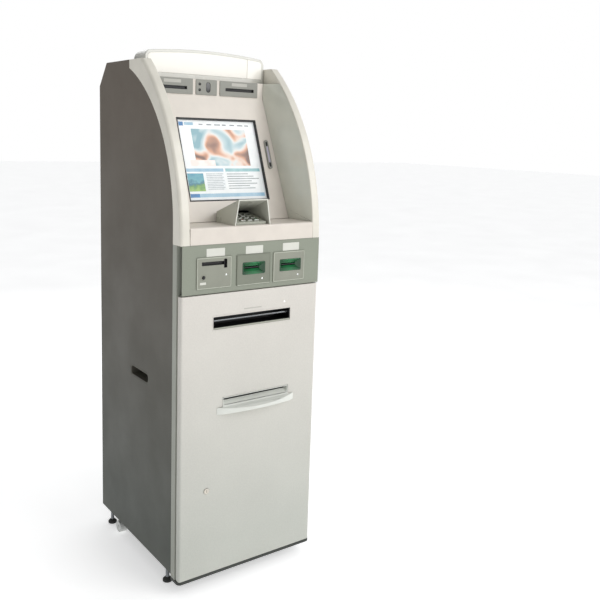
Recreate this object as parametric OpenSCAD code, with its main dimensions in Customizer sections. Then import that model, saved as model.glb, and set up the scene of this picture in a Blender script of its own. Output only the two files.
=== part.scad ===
// Free-standing self-service banking terminal: sheet-steel cabinet, curved hood and hinged front door.
// Geometry is laid out with the door face at depth 0 (+Y goes into the cabinet) and the door's lower
// edge at height 0; at_home() then moves every piece so that the feet stand on Z = 0 and the
// footprint is centred on the origin. X runs to the customer's right.

/* [Cabinet] */
// Width of the cabinet over its side panels
cab_w = 500; // [496:1:510]
// Depth from the door face to the rear edge of the side panels
cab_d = 583; // [575:1:600]
// Height of the cabinet sides above the door's lower edge
side_top = 1568; // [1560:1:1576]
// Clearance under the door's lower edge
lift = 50; // [50:1:60]
// Sheet thickness of the cabinet panels
sheet = 2; // [1.5:0.1:2.5]

/* [Front door] */
// Height of the front door
door_h = 884; // [880:1:885]
// Thickness of the folded door pan
door_t = 20; // [20:1:22]
// Height of the lock barrel above the door's lower edge
lock_z = 273; // [240:1:330]

/* [Hood] */
// Radius of the hood's curved front edge, seen from the side
hood_r = 690; // [670:5:710]
// Width of each hood cheek, seen from the front
cheek_w = 31; // [28:1:34]
// Height of the writing shelf above the door's lower edge
shelf_z = 1083; // [1080:1:1086]
// Lean of the console from upright, in degrees
console_lean = 21.1; // [20:0.1:22]

/* [Keypad] */
// Slope of the keypad from level, in degrees
pad_slope = 11; // [9:1:12]
// Distance between key rows
row_pitch = 20; // [19:0.5:21]
// Distance between key columns
column_pitch = 24; // [22:0.5:26]
// Travel of a key
key_travel = 3; // [2:0.5:3]

/* [Feet] */
// Radius of a levelling foot's pad
foot_r = 15; // [13:1:16]
// Radius of a transport wheel
wheel_r = 20; // [18:1:20]

/* [Hidden] */
$fn = 64;

fit = 0.3;                       // gap between neighbouring pieces
half = cab_w / 2;
lip_out = 32;                    // how far the output tray stands out of the door
post_d = 48;                     // depth of the light strip beside the door
side_bottom = 8;                 // height of the side panels' lower edge
band_top = 1032;                 // top of the grey reader band
band_bottom = door_h + 2.5;
band_y = 3;                      // depth of the reader band's face

// Boundary between the hood cheek and the dark side, seen from the side
seam_r = 492;
seam_z = band_top + 58;
seam_y = post_d + seam_r;
seam_back = 346;                 // depth where the cheek ends at the top
chamfer_run = 60;                // sloped rear top corner
chamfer_drop = 73;

// Splayed walls inside the hood: half width falls with depth
inner_half = half - cheek_w;
splay = 0.107;
lining_steps = 14;               // height steps of each ruled lining
lining_back = 42;                // how far each lining reaches behind the console
function wall_x(y) = inner_half - splay * y;

// Console: a panel that leans back from the shelf, then stands upright under the header
console_y = 113;
strip_y = 261.5;
strip_top = 1518;
console_t = 3;
strip_z = shelf_z + (strip_y - console_y) / tan(console_lean);

// Display, measured along the console's slope
screen_w = 292;
screen_h = 271;
screen_s = 66;
bezel_w = 4;
glass_sink = 9;

// Header
header_half = inner_half - 1;
header_y = 300;
header_back = 386;
header_corner = 22;              // radius of the header's upper corners
header_back_r = 58;              // radius of its rear edge, seen from the side
header_z = strip_top + 1;
sign_joint = 152;                // joint between the sign's two lenses
header_end_z = 1598;
header_rise = 13;
header_arch_r = (header_half * header_half + header_rise * header_rise) / (2 * header_rise);

// Upright reader faces under the header: [centre x, width]
upper_left = [-131, 114];
upper_mid = [-25, 76];
upper_right = [96, 144];
upper_z = 1494;
upper_h = 48;

// Reader faces in the band: [centre x, width]
band_left = [-138, 118];
band_mid = [0, 122];
band_right = [131, 120];
reader_z = 948;
reader_h = 94;

// Keypad and its hood on the shelf
hood_left = -70;
hood_right = 57;
hood_lean = 12;                  // how far each hood wall leans in at the top
hood_front_y = 2;
hood_top_z = shelf_z + 77;
hood_back_z = shelf_z + 31;
hood_back_y = 110;
pad_x = (hood_left + hood_right) / 2;
pad_w = 104;
pad_y = 10;
pad_len = 92;
pad_low = 8;
key_w = 17;
key_l = 13;
key_up = 4;
key_down = 4;
first_row = 15;

// Front door, seen from above: half-round hinge edge and rounded free edge
edge_r = door_t / 2;
door_left = -half + 3;
pivot_x = half - 3 - edge_r;
pin_r = 4;
run_gap = 0.06;                  // radial running clearance of pins and axles
slot_z = 795;
slot_w = 280;
slot_h = 40;
tray_x = 19;
tray_w = 244;
tray_z = 536;
tray_h = 50;
tray_bow_r = 340;
bowl_back = 14;                  // depth of the bowl's rear wall
bowl_back_z = tray_z + 10;       // height of the bowl's floor at that wall
bowl_front_z = tray_z - 20;      // height of the bowl's floor at the lip
chute_h = 7;                     // height of the slot through the rear wall
lock_x = -155;
lock_r = 9;

// Lifting cups in the sides
cup_y = 272;
cup_z = 584;
cup_w = 131;
cup_h = 36;

// Rear door
rear_half = half - 12;
rear_low = 72;
rear_high = side_top - chamfer_drop - 5;
rear_t = 18;
rear_pivot_x = rear_half - rear_t / 2;
rear_lock_x = -190;
rear_lock_z = 800;

// Under the cabinet
pan_half = half - 10;
pan_t = 5;
pan_back = cab_d - 4;
foot_x = half - 19;
foot_y_front = 105;
foot_y_rear = 539;
stem_r = 6;
nut_r = 10.4;                    // over the nut's corners; its flats face sideways
wheel_y = 459;
wheel_z = -lift + wheel_r + 3;
wheel_w = 25;
wheel_x = 231;
axle_r = 4;
anchor_x = 185;
anchor_y = [120, 500];
anchor_r = 6.5;

// Inside the cabinet
shelf_levels = [420, 660];
roll_y = 410;
roll_z = 760;
roll_r = 45;
roll_w = 212;
core_r = 8;
switch_x = 150;
sill_z = 36;

// ---- helpers ----------------------------------------------------------------------------------

module at_home() translate([0, -(cab_d - lip_out) / 2, lift]) children();

// Extrudes an outline of (depth, height) from x0 to x1
module across(x0, x1) translate([x0, 0, 0]) rotate([90, 0, 90]) linear_extrude(x1 - x0) children();

// Extrudes an outline of (x, height) from depth y0 to y1
module facing(y0, y1) translate([0, y1, 0]) rotate([90, 0, 0]) linear_extrude(y1 - y0) children();

// Extrudes an outline of (x, depth) from height z0 to z1
module upright(z0, z1) translate([0, 0, z0]) linear_extrude(z1 - z0) children();

module block(x0, x1, y0, y1, z0, z1) translate([x0, y0, z0]) cube([x1 - x0, y1 - y0, z1 - z0]);

// Round rod along +Y
module rod_y(x, z, y0, y1, r) translate([x, y0, z]) rotate([-90, 0, 0]) cylinder(r = r, h = y1 - y0);

// Round rod along +X
module rod_x(y, z, x0, x1, r) translate([x0, y, z]) rotate([0, 90, 0]) cylinder(r = r, h = x1 - x0);

// Rectangle with round corners, centred
module rounded(w, h, r) {
    square([w - 2 * r, h], center = true);
    square([w, h - 2 * r], center = true);
    for (sx = [-1, 1], sy = [-1, 1])
        translate([sx * (w / 2 - r), sy * (h / 2 - r)]) circle(r);
}

// Both sides of the cabinet's middle plane
module both() {
    children();
    mirror([1, 0, 0]) children();
}

// Frame on the console: X across, Y up the slope from the shelf, Z out towards the customer
module on_console() translate([0, console_y, shelf_z]) rotate([90 - console_lean, 0, 0]) children();

// Frame on the keypad: Y up the pad from its front edge, Z out of it
module on_pad() translate([pad_x, pad_y, shelf_z + fit + pad_low]) rotate([pad_slope, 0, 0]) children();

// ---- outlines ---------------------------------------------------------------------------------

// Dark side of the cabinet, seen from the side
module side_outline(grow = 0) {
    difference() {
        union() {
            translate([post_d - grow, side_bottom])
                square([cab_d - post_d + grow, seam_z - side_bottom]);
            intersection() {
                translate([seam_y, seam_z]) circle(seam_r + grow, $fn = 180);
                translate([post_d - grow, seam_z - 1])
                    square([seam_back - post_d + grow + 2, side_top - seam_z + 1]);
            }
            translate([seam_back - grow, seam_z - 1])
                square([cab_d - seam_back + grow, side_top - seam_z + 1 + grow]);
        }
        translate([cab_d, side_top - chamfer_drop])
            polygon([[grow + 1, -1.3], [grow + 1, chamfer_drop + 5 + grow],
                [-chamfer_run - grow * 2, chamfer_drop + 5 + grow], [-chamfer_run, chamfer_drop], [0, 0]]);
    }
}

// Everything behind the hood's curved front edge, between two heights
module hood_outline(inset, low, high, back) {
    intersection() {
        translate([hood_r, band_top]) circle(hood_r - inset, $fn = 180);
        translate([0, low]) square([back, high - low]);
    }
}

// Plan of the space between the splayed walls
module between_walls(gap, back) {
    polygon([[-wall_x(0) + gap, 0], [wall_x(0) - gap, 0],
        [wall_x(back) - gap, back], [-wall_x(back) + gap, back]]);
}

// ---- cabinet ----------------------------------------------------------------------------------

module base_pan() color("#2b2c2a") at_home() difference() {
    union() {
        upright(-10, -0.5) difference() {
            translate([0, (post_d + 24) / 2]) rounded(cab_w, post_d + 24, 14);
            translate([-half, post_d]) square([cab_w, 40]);
        }
        block(-pan_half, pan_half, post_d - 1, pan_back, -pan_t, 0);
        both() block(pan_half - sheet, pan_half, foot_y_front + 25, foot_y_rear - 25, -1, 60);
        difference() {
            block(-pan_half, pan_half, pan_back - sheet, pan_back, -1, rear_low - 5);
            block(-205, -135, pan_back - 5, pan_back + 1, sill_z - 15, sill_z + 15);
            block(switch_x - 14, switch_x + 14, pan_back - 5, pan_back + 1, sill_z - 11, sill_z + 11);
        }
        both() block(wheel_x - wheel_w / 2 - 6, wheel_x - wheel_w / 2 - 2, wheel_y - 14, wheel_y + 14,
            wheel_z - 8, -pan_t + 1);
    }
    for (x = [-anchor_x, anchor_x], y = anchor_y)
        translate([x, y, -pan_t - 1]) cylinder(r = anchor_r, h = pan_t + 2);
    for (x = [-foot_x, foot_x], y = [foot_y_front, foot_y_rear])
        translate([x, y, -pan_t - 1]) cylinder(r = stem_r + fit, h = pan_t + 2);
    rod_x(wheel_y, wheel_z, -half, half, axle_r + run_gap);
    translate([pivot_x, edge_r, -9]) cylinder(r = pin_r, h = 12);
}

module side_panel() difference() {
    union() {
        across(half - sheet, half) side_outline();
        block(pan_half + fit, half - 0.5, post_d + 2, cab_d - 2, side_bottom, side_bottom + sheet);
        block(rear_half + 1, half - 0.5, cab_d - sheet, cab_d, side_bottom, side_top - chamfer_drop - 6);
        block(rear_half - 14, half - 0.5, cab_d - rear_t - 4, cab_d - rear_t - 2,
            rear_lock_z - 16, rear_lock_z + 16);
    }
    across(half - 10, half + 1) translate([cup_y, cup_z]) rounded(cup_w, cup_h, 12);
}
module side_panel_left() color("#5f584f") at_home() mirror([1, 0, 0]) side_panel();
module side_panel_right() color("#5f584f") at_home() side_panel();

module top_cover() color("#5f584f") at_home() difference() {
    across(-half + sheet + fit, half - sheet - fit) polygon([
        [seam_back, side_top - sheet], [seam_back, side_top],
        [cab_d - chamfer_run, side_top], [cab_d, side_top - chamfer_drop],
        [cab_d - 1.6 * sheet, side_top - chamfer_drop],
        [cab_d - chamfer_run - 0.8 * sheet, side_top - sheet]]);
    block(-header_half - fit, header_half + fit, 0, header_back + fit, side_top - 10, side_top + 10);
}

// Hollow uprights behind the door's edges, with the lock's keeper on the left one
module front_posts() color("#a3a597") at_home() {
    both() upright(0, band_top - fit) difference() {
        translate([half - 18, door_t + 2.5]) square([18, post_d - door_t - 2.5 - fit]);
        translate([half - 16, door_t + 4.5]) square([14, post_d - door_t - 6.5 - fit]);
    }
    block(-half + 10, lock_x - 42, door_t + 2.5, door_t + 5, lock_z - 16, lock_z + 16);
}

module band_panel() color("#8c9082") at_home() difference() {
    union() {
        block(-half + 7, half - 1, band_y, band_y + sheet, band_bottom, band_top - fit);
        block(-half + 7, half - 1, band_y, door_t - 1, band_top - fit - sheet, band_top - fit);
        block(-half + 7, pivot_x - 14, band_y, door_t - 1, band_bottom, band_bottom + sheet);
    }
    for (face = [band_left, band_mid, band_right])
        facing(0, door_t) translate([face[0], reader_z])
            square([face[1] - 14, reader_h - 14], center = true);
}

module hinge_pins() color("#b8babb") at_home() {
    translate([pivot_x, edge_r, -9]) cylinder(r = pin_r, h = 24);
    translate([pivot_x, edge_r, door_h - 14]) cylinder(r = pin_r, h = 17.5);
    block(pivot_x - 10, pivot_x + 9, 6, door_t + 2.4, door_h + 3, door_h + 6);
    for (z = [rear_low - 4.5, rear_high + 1.5])
        block(rear_pivot_x - 10, half - sheet, cab_d - rear_t, cab_d - 6, z, z + 3);
    for (z = [rear_low - 4, rear_high - 14])
        translate([rear_pivot_x, cab_d - rear_t / 2, z]) cylinder(r = pin_r, h = 18);
}

// Dark cups let into the sides, for lifting
module handle_cups() color("#23241f") at_home() both() difference() {
    union() {
        across(half - 36, half - sheet - fit) translate([cup_y, cup_z]) rounded(cup_w + 10, cup_h + 10, 14);
        across(half - 4, half - 0.4) translate([cup_y, cup_z]) rounded(cup_w - 1, cup_h - 1, 11.5);
    }
    across(half - 34, half + 1) translate([cup_y, cup_z]) rounded(cup_w - 8, cup_h - 8, 10);
}

module equipment_shelves() color("#9a9c98") at_home() for (z = shelf_levels) {
    block(-half + sheet + fit, half - sheet - fit, 70, 545, z - sheet, z);
    for (y = [70, 543]) block(-half + 30, half - 30, y, y + sheet, z - 16, z - sheet / 2);
}

module fasteners() color("#c9cbcc") at_home() {
    for (x = [-foot_x, foot_x], y = [foot_y_front, foot_y_rear])
        translate([x, y, 0.2]) difference() {
            rotate(30) cylinder(r = nut_r, h = 10, $fn = 6);
            translate([0, 0, -1]) cylinder(r = stem_r + fit, h = 12);
        }
    for (x = [-225, -90, 90, 225]) rod_y(x, 12, pan_back + 0.05, pan_back + 2.4, 4);
    for (x = [-200, 0, 200], y = [header_back + 16, cab_d - chamfer_run - 14])
        translate([x, y, side_top + 0.05]) cylinder(r = 4.5, h = 2.2);
}

// ---- hood -------------------------------------------------------------------------------------

module cheek() across(inner_half, half) difference() {
    hood_outline(0, band_top, side_top, seam_back - fit);
    side_outline(fit);
}
module cheek_left() color("#d9d7cc") at_home() mirror([1, 0, 0]) cheek();
module cheek_right() color("#d9d7cc") at_home() cheek();

// Linings that face the customer's hands, one each side: each is ruled between the cheek's curved
// front edge and the console's side edge
function cheek_y(z) = hood_r - sqrt(hood_r * hood_r - (z - band_top) * (z - band_top));
function console_at(z) = min(strip_y, console_y + 1 + (z - shelf_z) * tan(console_lean));

module lining_slice(z) upright(z, z + 0.1) polygon([
    [inner_half - fit, cheek_y(z) + 4], [wall_x(console_at(z)), console_at(z)],
    [wall_x(console_at(z)), console_at(z) + lining_back], [inner_half - fit, console_at(z) + lining_back]]);

module inner_walls() color("#9a9c8a") at_home() {
    low = shelf_z + fit;
    step = (strip_top - 0.3 - low) / lining_steps;
    both() for (i = [0:lining_steps - 1]) hull() {
        lining_slice(low + i * step);
        lining_slice(low + (i + 1) * step);
    }
}

// Cream front rail and the writing shelf on top of it
module shelf_chin() color("#e6dfd5") at_home() difference() {
    intersection() {
        across(-inner_half + fit, inner_half - fit) difference() {
            union() {
                translate([6, shelf_z - 6]) circle(6);
                translate([0, band_top + fit]) square([console_y - 1, shelf_z - 6 - band_top - fit]);
                translate([6, shelf_z - 10]) square([console_y - 7, 10]);
            }
            translate([3, band_top - 1]) square([console_y, shelf_z - 4 - band_top + 1]);
        }
        upright(band_top, shelf_z + 1) square([cab_w, 2 * cab_w], center = true);
    }
}

module console_outline() polygon([
    [console_y + 1, shelf_z + fit],
    [strip_y, strip_z + fit],
    [strip_y, strip_top],
    [strip_y + console_t, strip_top],
    [strip_y + console_t, strip_z + fit],
    [console_y + 1 + console_t / cos(console_lean), shelf_z + fit]]);

module console_panel() color("#e2dacf") at_home() difference() {
    intersection() {
        across(-inner_half, inner_half) union() {
            console_outline();
            translate([strip_y, strip_top - sheet]) square([header_y + 12 - strip_y, sheet]);
        }
        upright(shelf_z, strip_top + 1) between_walls(0.6, seam_back);
    }
    on_console() translate([-screen_w / 2, screen_s, -30]) cube([screen_w, screen_h, 60]);
    for (face = [upper_left, upper_mid, upper_right])
        facing(strip_y - 20, strip_y + 20) translate([face[0], upper_z])
            square([face[1] - 12, upper_h - 12], center = true);
    on_console() translate([170, 218, -20]) linear_extrude(40) rounded(10, 84, 4.9);
}

// Black frame, recess walls and case of the display
module monitor() color("#15151a") at_home() on_console() difference() {
    union() {
        translate([fit - screen_w / 2, screen_s + fit, -16])
            cube([screen_w - 2 * fit, screen_h - 2 * fit, 16]);
        translate([-screen_w / 2 - 8, screen_s - 4, -44]) cube([screen_w + 16, screen_h + 8, 38.5]);
    }
    translate([-screen_w / 2 + bezel_w, screen_s + bezel_w, -glass_sink - 4])
        cube([screen_w - 2 * bezel_w, screen_h - 2 * bezel_w, 40]);
}

module touch_glass() color("#dfe6ea") at_home() on_console()
    translate([-screen_w / 2 + bezel_w + 0.2, screen_s + bezel_w + 0.2, -glass_sink - 4 + 0.02])
        cube([screen_w - 2 * bezel_w - 0.4, screen_h - 2 * bezel_w - 0.4, 3.6]);

// Header seen from the side and from the front
module header_side(inset) {
    turn_y = header_back - header_back_r;
    turn_z = header_end_z + header_rise - header_back_r;
    translate([header_y + inset, header_z + inset]) square([turn_y - header_y, 120]);
    intersection() {
        translate([turn_y, turn_z]) circle(header_back_r - inset);
        translate([turn_y - 1, header_z]) square([80, 200]);
    }
    translate([turn_y - 2, header_z + inset])
        square([header_back_r + 2 - inset, turn_z - header_z - inset]);
}
module header_front(inset, bottom = 0) intersection() {
    top = header_end_z + 3 - inset;
    side = header_half - inset;
    corner = header_corner - inset;
    translate([0, header_end_z + header_rise - header_arch_r]) circle(header_arch_r - inset, $fn = 360);
    union() {
        translate([-side, header_z + inset + bottom])
            square([2 * side, top - corner - header_z - inset - bottom]);
        translate([corner - side, header_z + 20]) square([2 * (side - corner), 120]);
        both() translate([side - corner, top - corner]) circle(corner);
    }
}

module header_housing() color("#e9e7dd") at_home() difference() {
    intersection() {
        across(-header_half, header_half) header_side(0);
        facing(header_y - 1, header_back + 1) header_front(0);
    }
    intersection() {
        across(-header_half, header_half) translate([0, -6]) header_side(3);
        facing(header_y + 3, header_back - 3) header_front(3);
        block(-header_half, header_half, header_y + 3, header_back, header_z - 10, header_z + 200);
    }
    block(-header_half + 12, header_half - 12, header_y + 3, header_back - 40, header_z - 1, header_z + 4);
    facing(header_y - 1, header_y + 4) header_opening(0);
}

module header_opening(inset) header_front(9 + inset, 6);

// Two illuminated lenses side by side
module header_sign() color("#fbfbf6") at_home() facing(header_y - 0.6, header_y + 2.6) {
    intersection() {
        header_opening(fit);
        translate([-header_half, header_z]) square([header_half + sign_joint - 0.75, 120]);
    }
    intersection() {
        header_opening(fit);
        translate([sign_joint + 0.75, header_z]) square([60, 120]);
    }
}

module header_lamp() color("#f4f2e4") at_home() {
    rod_x(header_y + 28, header_z + 43, -160, 160, 8);
    for (x = [-168, 156]) block(x, x + 12, header_y + 17, header_y + 39, header_z + 4.2, header_z + 55);
}

// ---- readers ----------------------------------------------------------------------------------

// Shallow upright housing: bezel in front of the strip, body behind it
module strip_reader(face, body_depth) {
    facing(strip_y - 2.6, strip_y - 0.05) translate([face[0], upper_z]) rounded(face[1], upper_h, 2);
    facing(strip_y - 1, strip_y + body_depth) translate([face[0], upper_z])
        square([face[1] - 13, upper_h - 13], center = true);
}

module throat(x, z, w, h, y0, depth, slot_h) {
    facing(y0 - 1, y0 + 8) translate([x, z]) square([w, h], center = true);
    facing(y0, y0 + depth) translate([x, z]) square([w - 6, slot_h], center = true);
}

module upper_reader_left() color("#8f8f86") at_home() difference() {
    strip_reader(upper_left, 84);
    throat(upper_left[0] - 6, upper_z - 5, 84, 10, strip_y - 2.6, 60, 3);
}
module upper_reader_right() color("#8f8f86") at_home() difference() {
    strip_reader(upper_right, 84);
    throat(upper_right[0] + 3, upper_z - 3, 108, 10, strip_y - 2.6, 60, 3);
}
module upper_sensor() color("#8f8f86") at_home() difference() {
    strip_reader(upper_mid, 40);
    for (dz = [-9, 9]) rod_y(upper_mid[0] - 25, upper_z + dz, strip_y - 4, strip_y + 12, 4.5);
    facing(strip_y - 4, strip_y + 14) translate([upper_mid[0] + 6, upper_z]) rounded(16, 32, 7.9);
}

// Narrow reader on the console's right margin
module side_reader() color("#a9a7ad") at_home() on_console() difference() {
    union() {
        translate([170, 218, 0.05]) linear_extrude(5) rounded(15, 98, 7);
        translate([170, 218, -14]) linear_extrude(15) rounded(9.2, 83, 4.5);
    }
    translate([170, 218, 2]) linear_extrude(10) rounded(7, 86, 3.4);
}

module band_body(face, depth) {
    facing(0.4, band_y - 0.05) translate([face[0], reader_z]) rounded(face[1], reader_h, 3);
    facing(1, depth) translate([face[0], reader_z])
        square([face[1] - 15, reader_h - 15], center = true);
}

module reader_left() color("#8a8b7d") at_home() difference() {
    band_body(band_left, 120);
    throat(-142, 976, 76, 11, 0.4, 90, 3);
    facing(-1, 14) translate([-100, 974]) rounded(11, 27, 3);
    rod_y(-174, 936, -1, 6, 5.3);
    rod_y(-174, 936, 5, 20, 2.6);
    rod_y(-97, 940, -1, 2, 3);
}
module reader_window(face, wx) difference() {
    band_body(face, 120);
    facing(-1, 14) translate([wx, 952]) rounded(82, 38, 4);
    facing(10, 90) translate([wx, 952]) square([72, 4.6], center = true);
}
module reader_centre() color("#838676") at_home() difference() {
    reader_window(band_mid, 0);
    rod_y(31, 918, -1, 2, 3);
}
module reader_right() color("#8c8e80") at_home() difference() {
    reader_window(band_right, 136);
    rod_y(166, 919, -1, 2, 3);
}

module push_button() color("#1d1d1b") at_home() {
    rod_y(-174, 936, -3, 3.6, 5);
    rod_y(-174, 936, 3, 16, 2.3);
}

// ---- keypad -----------------------------------------------------------------------------------

module hood_walls(inset) polygon([
    [hood_left + inset, shelf_z - 5], [hood_left + inset, shelf_z + fit],
    [hood_left + hood_lean + inset, hood_top_z], [hood_right - hood_lean - inset, hood_top_z],
    [hood_right - inset, shelf_z + fit], [hood_right - inset, shelf_z - 5]]);
module hood_roof(drop, low) polygon([
    [hood_front_y - drop, low], [hood_front_y - drop, hood_top_z - drop],
    [hood_back_y + 8 + drop, hood_back_z - drop], [hood_back_y + drop, low]]);

module keypad_hood() color("#6f7060") at_home() difference() {
    intersection() {
        facing(0, 200) hood_walls(0);
        across(-100, 100) hood_roof(0, shelf_z + fit);
    }
    intersection() {
        facing(-10, 200) hood_walls(3);
        across(-100, 100) hood_roof(3, shelf_z - 2);
    }
}

module keypad_case() color("#2c2d2b") at_home() difference() {
    across(pad_x - pad_w / 2, pad_x + pad_w / 2) polygon([
        [pad_y, shelf_z + fit], [pad_y, shelf_z + fit + pad_low],
        [pad_y + pad_len, shelf_z + fit + pad_low + pad_len * tan(pad_slope)],
        [pad_y + pad_len, shelf_z + fit]]);
    for (i = [0:11]) key_well(i);
}

// Keys count from the far left: 1 2 3 / 4 5 6 / 7 8 9 / clear 0 enter
function key_x(i) = (i % 3 - 1) * column_pitch;
function key_y(i) = first_row + (3 - floor(i / 3)) * row_pitch;

module key_well(i) on_pad() translate([key_x(i), key_y(i), -key_down - key_travel + 0.2])
    linear_extrude(30) square([key_w + 0.8, key_l + 0.8], center = true);

module key(i) color("#b9bab4") at_home() on_pad() translate([key_x(i), key_y(i), -key_down + 0.5])
    linear_extrude(key_down + key_up - 0.5) rounded(key_w, key_l, 2);

module key_1() key(0);
module key_2() key(1);
module key_3() key(2);
module key_4() key(3);
module key_5() key(4);
module key_6() key(5);
module key_7() key(6);
module key_8() key(7);
module key_9() key(8);
module key_clear() key(9);
module key_0() key(10);
module key_enter() key(11);

// ---- front door -------------------------------------------------------------------------------

module door_plan() {
    translate([pivot_x, edge_r]) circle(edge_r);
    translate([door_left + 7, 0]) square([pivot_x - door_left - 7, door_t]);
    translate([door_left + 7, 7]) circle(7);
    translate([door_left, 7]) square([20, door_t - 7]);
}

module front_door() color("#dcd6cf") at_home() difference() {
    upright(0.5, door_h) door_plan();
    block(door_left + 14, pivot_x - 12, 2.5, door_t + 1, 14, door_h - 13);
    facing(-1, 30) translate([0, slot_z]) square([slot_w, slot_h], center = true);
    facing(-1, 30) translate([tray_x, tray_z]) square([tray_w, tray_h], center = true);
    rod_y(lock_x, lock_z, -1, 5, lock_r + fit);
    translate([pivot_x, edge_r, -1]) cylinder(r = pin_r + run_gap, h = 17);
    translate([pivot_x, edge_r, door_h - 16]) cylinder(r = pin_r + run_gap, h = 20);
}

// Dark lining of the document slot, with a guide bar across it and a light sill
module document_slot() color("#24251f") at_home() {
    difference() {
        facing(1, 62) translate([0, slot_z]) square([slot_w - 2 * fit, slot_h - 2 * fit], center = true);
        facing(-1, 58) translate([0, slot_z]) square([slot_w - 6, slot_h - 6], center = true);
        block(-120, 120, 50, 70, slot_z - 10, slot_z - 4);
    }
    rod_x(16, slot_z + 4, -slot_w / 2 + 2, slot_w / 2 - 2, 2.5);
}

module tray_lip(inset, low) intersection() {
    upright(low, tray_z + 40) intersection() {
        translate([tray_x, tray_bow_r - lip_out]) circle(tray_bow_r - inset, $fn = 240);
        translate([tray_x - 150, -60]) square([300, 60 - fit + inset]);
    }
    across(tray_x - 150, tray_x + 150) polygon([
        [30, tray_z + 2], [-lip_out - 6, tray_z - 11], [-lip_out - 6, tray_z - 18],
        [-8, tray_z - 26], [30, tray_z - 26]]);
}

// Scoop that catches what comes out: a box through the door with a bowed lip in front
module output_tray() color("#d5d3cb") at_home() difference() {
    union() {
        facing(-fit - 1, 48) translate([tray_x, tray_z]) square([tray_w - 1, tray_h - 1], center = true);
        tray_lip(0, 480);
    }
    intersection() {
        upright(480, 620) union() {
            intersection() {
                translate([tray_x, tray_bow_r - lip_out]) circle(tray_bow_r - 4.5, $fn = 240);
                translate([tray_x - 150, -60]) square([300, 60]);
            }
            translate([tray_x - tray_w / 2 + 4, -10]) square([tray_w - 8, 54]);
        }
        across(-200, 200) polygon([
            [bowl_back, bowl_back_z], [-lip_out - 4, bowl_front_z],
            [-lip_out - 4, tray_z + 60], [-2, tray_z + 60], [-2, tray_z + 22], [bowl_back, tray_z + 22]]);
    }
    block(tray_x - 116, tray_x + 116, bowl_back - 8, 60, bowl_back_z + 1, bowl_back_z + 1 + chute_h);
}

// Key barrel with the cam behind the door, hanging down while unlocked
module cam_lock(x, z, y0, thick, cam_y, r) {
    rod_y(x, z, y0, cam_y + 3, r);
    facing(cam_y, cam_y + 3) {
        translate([x, z]) circle(r);
        translate([x - 7, z - 52]) square([14, 52]);
    }
}
module door_lock() color("#c2c4c6") at_home() difference() {
    cam_lock(lock_x, lock_z, -1.5, door_t, door_t + 6, lock_r);
    block(lock_x - 0.8, lock_x + 0.8, -3, 0.5, lock_z - 4, lock_z + 4);
}

// ---- rear -------------------------------------------------------------------------------------

module rear_plan() {
    translate([rear_pivot_x, cab_d - rear_t / 2]) circle(rear_t / 2);
    translate([-rear_half, cab_d - rear_t]) square([rear_pivot_x + rear_half, rear_t]);
}

module rear_door() color("#5b554c") at_home() difference() {
    upright(rear_low, rear_high) rear_plan();
    block(-rear_half + 12, rear_pivot_x - 12, cab_d - rear_t - 1, cab_d - 2, rear_low + 12, rear_high - 12);
    for (z = [240, 1200], i = [0:5])
        facing(cab_d - 4, cab_d + 1) translate([0, z + i * 18]) rounded(220, 7, 3.4);
    rod_y(rear_lock_x, rear_lock_z, cab_d - 5, cab_d + 1, lock_r + fit);
    for (z = [rear_low, rear_high])
        translate([rear_pivot_x, cab_d - rear_t / 2, z - 16]) cylinder(r = pin_r + run_gap, h = 32);
}

module rear_lock() color("#c2c4c6") at_home() {
    rod_y(rear_lock_x, rear_lock_z, cab_d - rear_t - 8, cab_d, lock_r);
    facing(cab_d - rear_t - 8, cab_d - rear_t - 5)
        translate([rear_lock_x - 7, rear_lock_z - 40]) square([14, 40]);
}

module power_inlet() color("#1c1c1b") at_home() difference() {
    union() {
        facing(pan_back + 0.05, pan_back + 3) translate([-170, sill_z]) rounded(76, 34, 3);
        facing(pan_back - 30, pan_back + 1) translate([-170, sill_z]) square([69, 29], center = true);
    }
    facing(pan_back - 16, pan_back + 4) translate([-184, sill_z]) rounded(25, 17, 3);
}

module rocker_switch() color("#1a1a1a") at_home()
    translate([switch_x, pan_back - 3, sill_z]) rotate([8, 0, 0]) intersection() {
        rod_x(0, 0, -13, 13, 10);
        block(-13, 13, -6, 6, -10, 10);
    }

// ---- equipment --------------------------------------------------------------------------------

module computer() color("#b7b9ba") at_home() {
    block(-150, 130, 150, 430, 0.2, 110);
    for (x = [-110, 60]) rod_y(x, 60, 146, 150.5, 32);
}

module power_supply() color("#8f9192") at_home() {
    block(145, 222, 190, 380, 2, 92);
    block(150, 217, 187.5, 191, 20, 80);
}

module card_dispenser() color("#3c4046") at_home() difference() {
    block(-104, 128, 90, 360, shelf_levels[0] + 0.2, 592);
    block(-96, 120, 80, 130, 546, 560);
}

module printer() color("#4a4d50") at_home() {
    difference() {
        block(-150, 150, 90, 320, shelf_levels[1] + 0.2, 812);
        block(-115, 115, 80, 150, slot_z - 12, slot_z - 2);
    }
    both() difference() {
        block(roll_w / 2 + 4, roll_w / 2 + 9, 315, roll_y + 14, roll_z - 14, roll_z + 14);
        rod_x(roll_y, roll_z, 90, 150, core_r + run_gap);
    }
}

module paper_roll() color("#f2f0ea") at_home() {
    rod_x(roll_y, roll_z, -roll_w / 2, roll_w / 2, roll_r);
    rod_x(roll_y, roll_z, -roll_w / 2 - 12, roll_w / 2 + 12, core_r);
}

// ---- feet and wheels --------------------------------------------------------------------------

module foot(x, y) color("#3a3b3a") at_home() translate([x, y, -lift]) {
    cylinder(r = foot_r, h = 8);
    translate([0, 0, 7]) cylinder(r1 = foot_r - 1, r2 = 8, h = 7);
    translate([0, 0, 13]) cylinder(r = stem_r, h = lift + 20);
}
module foot_front_left() foot(-foot_x, foot_y_front);
module foot_front_right() foot(foot_x, foot_y_front);
module foot_rear_left() foot(-foot_x, foot_y_rear);
module foot_rear_right() foot(foot_x, foot_y_rear);

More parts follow.
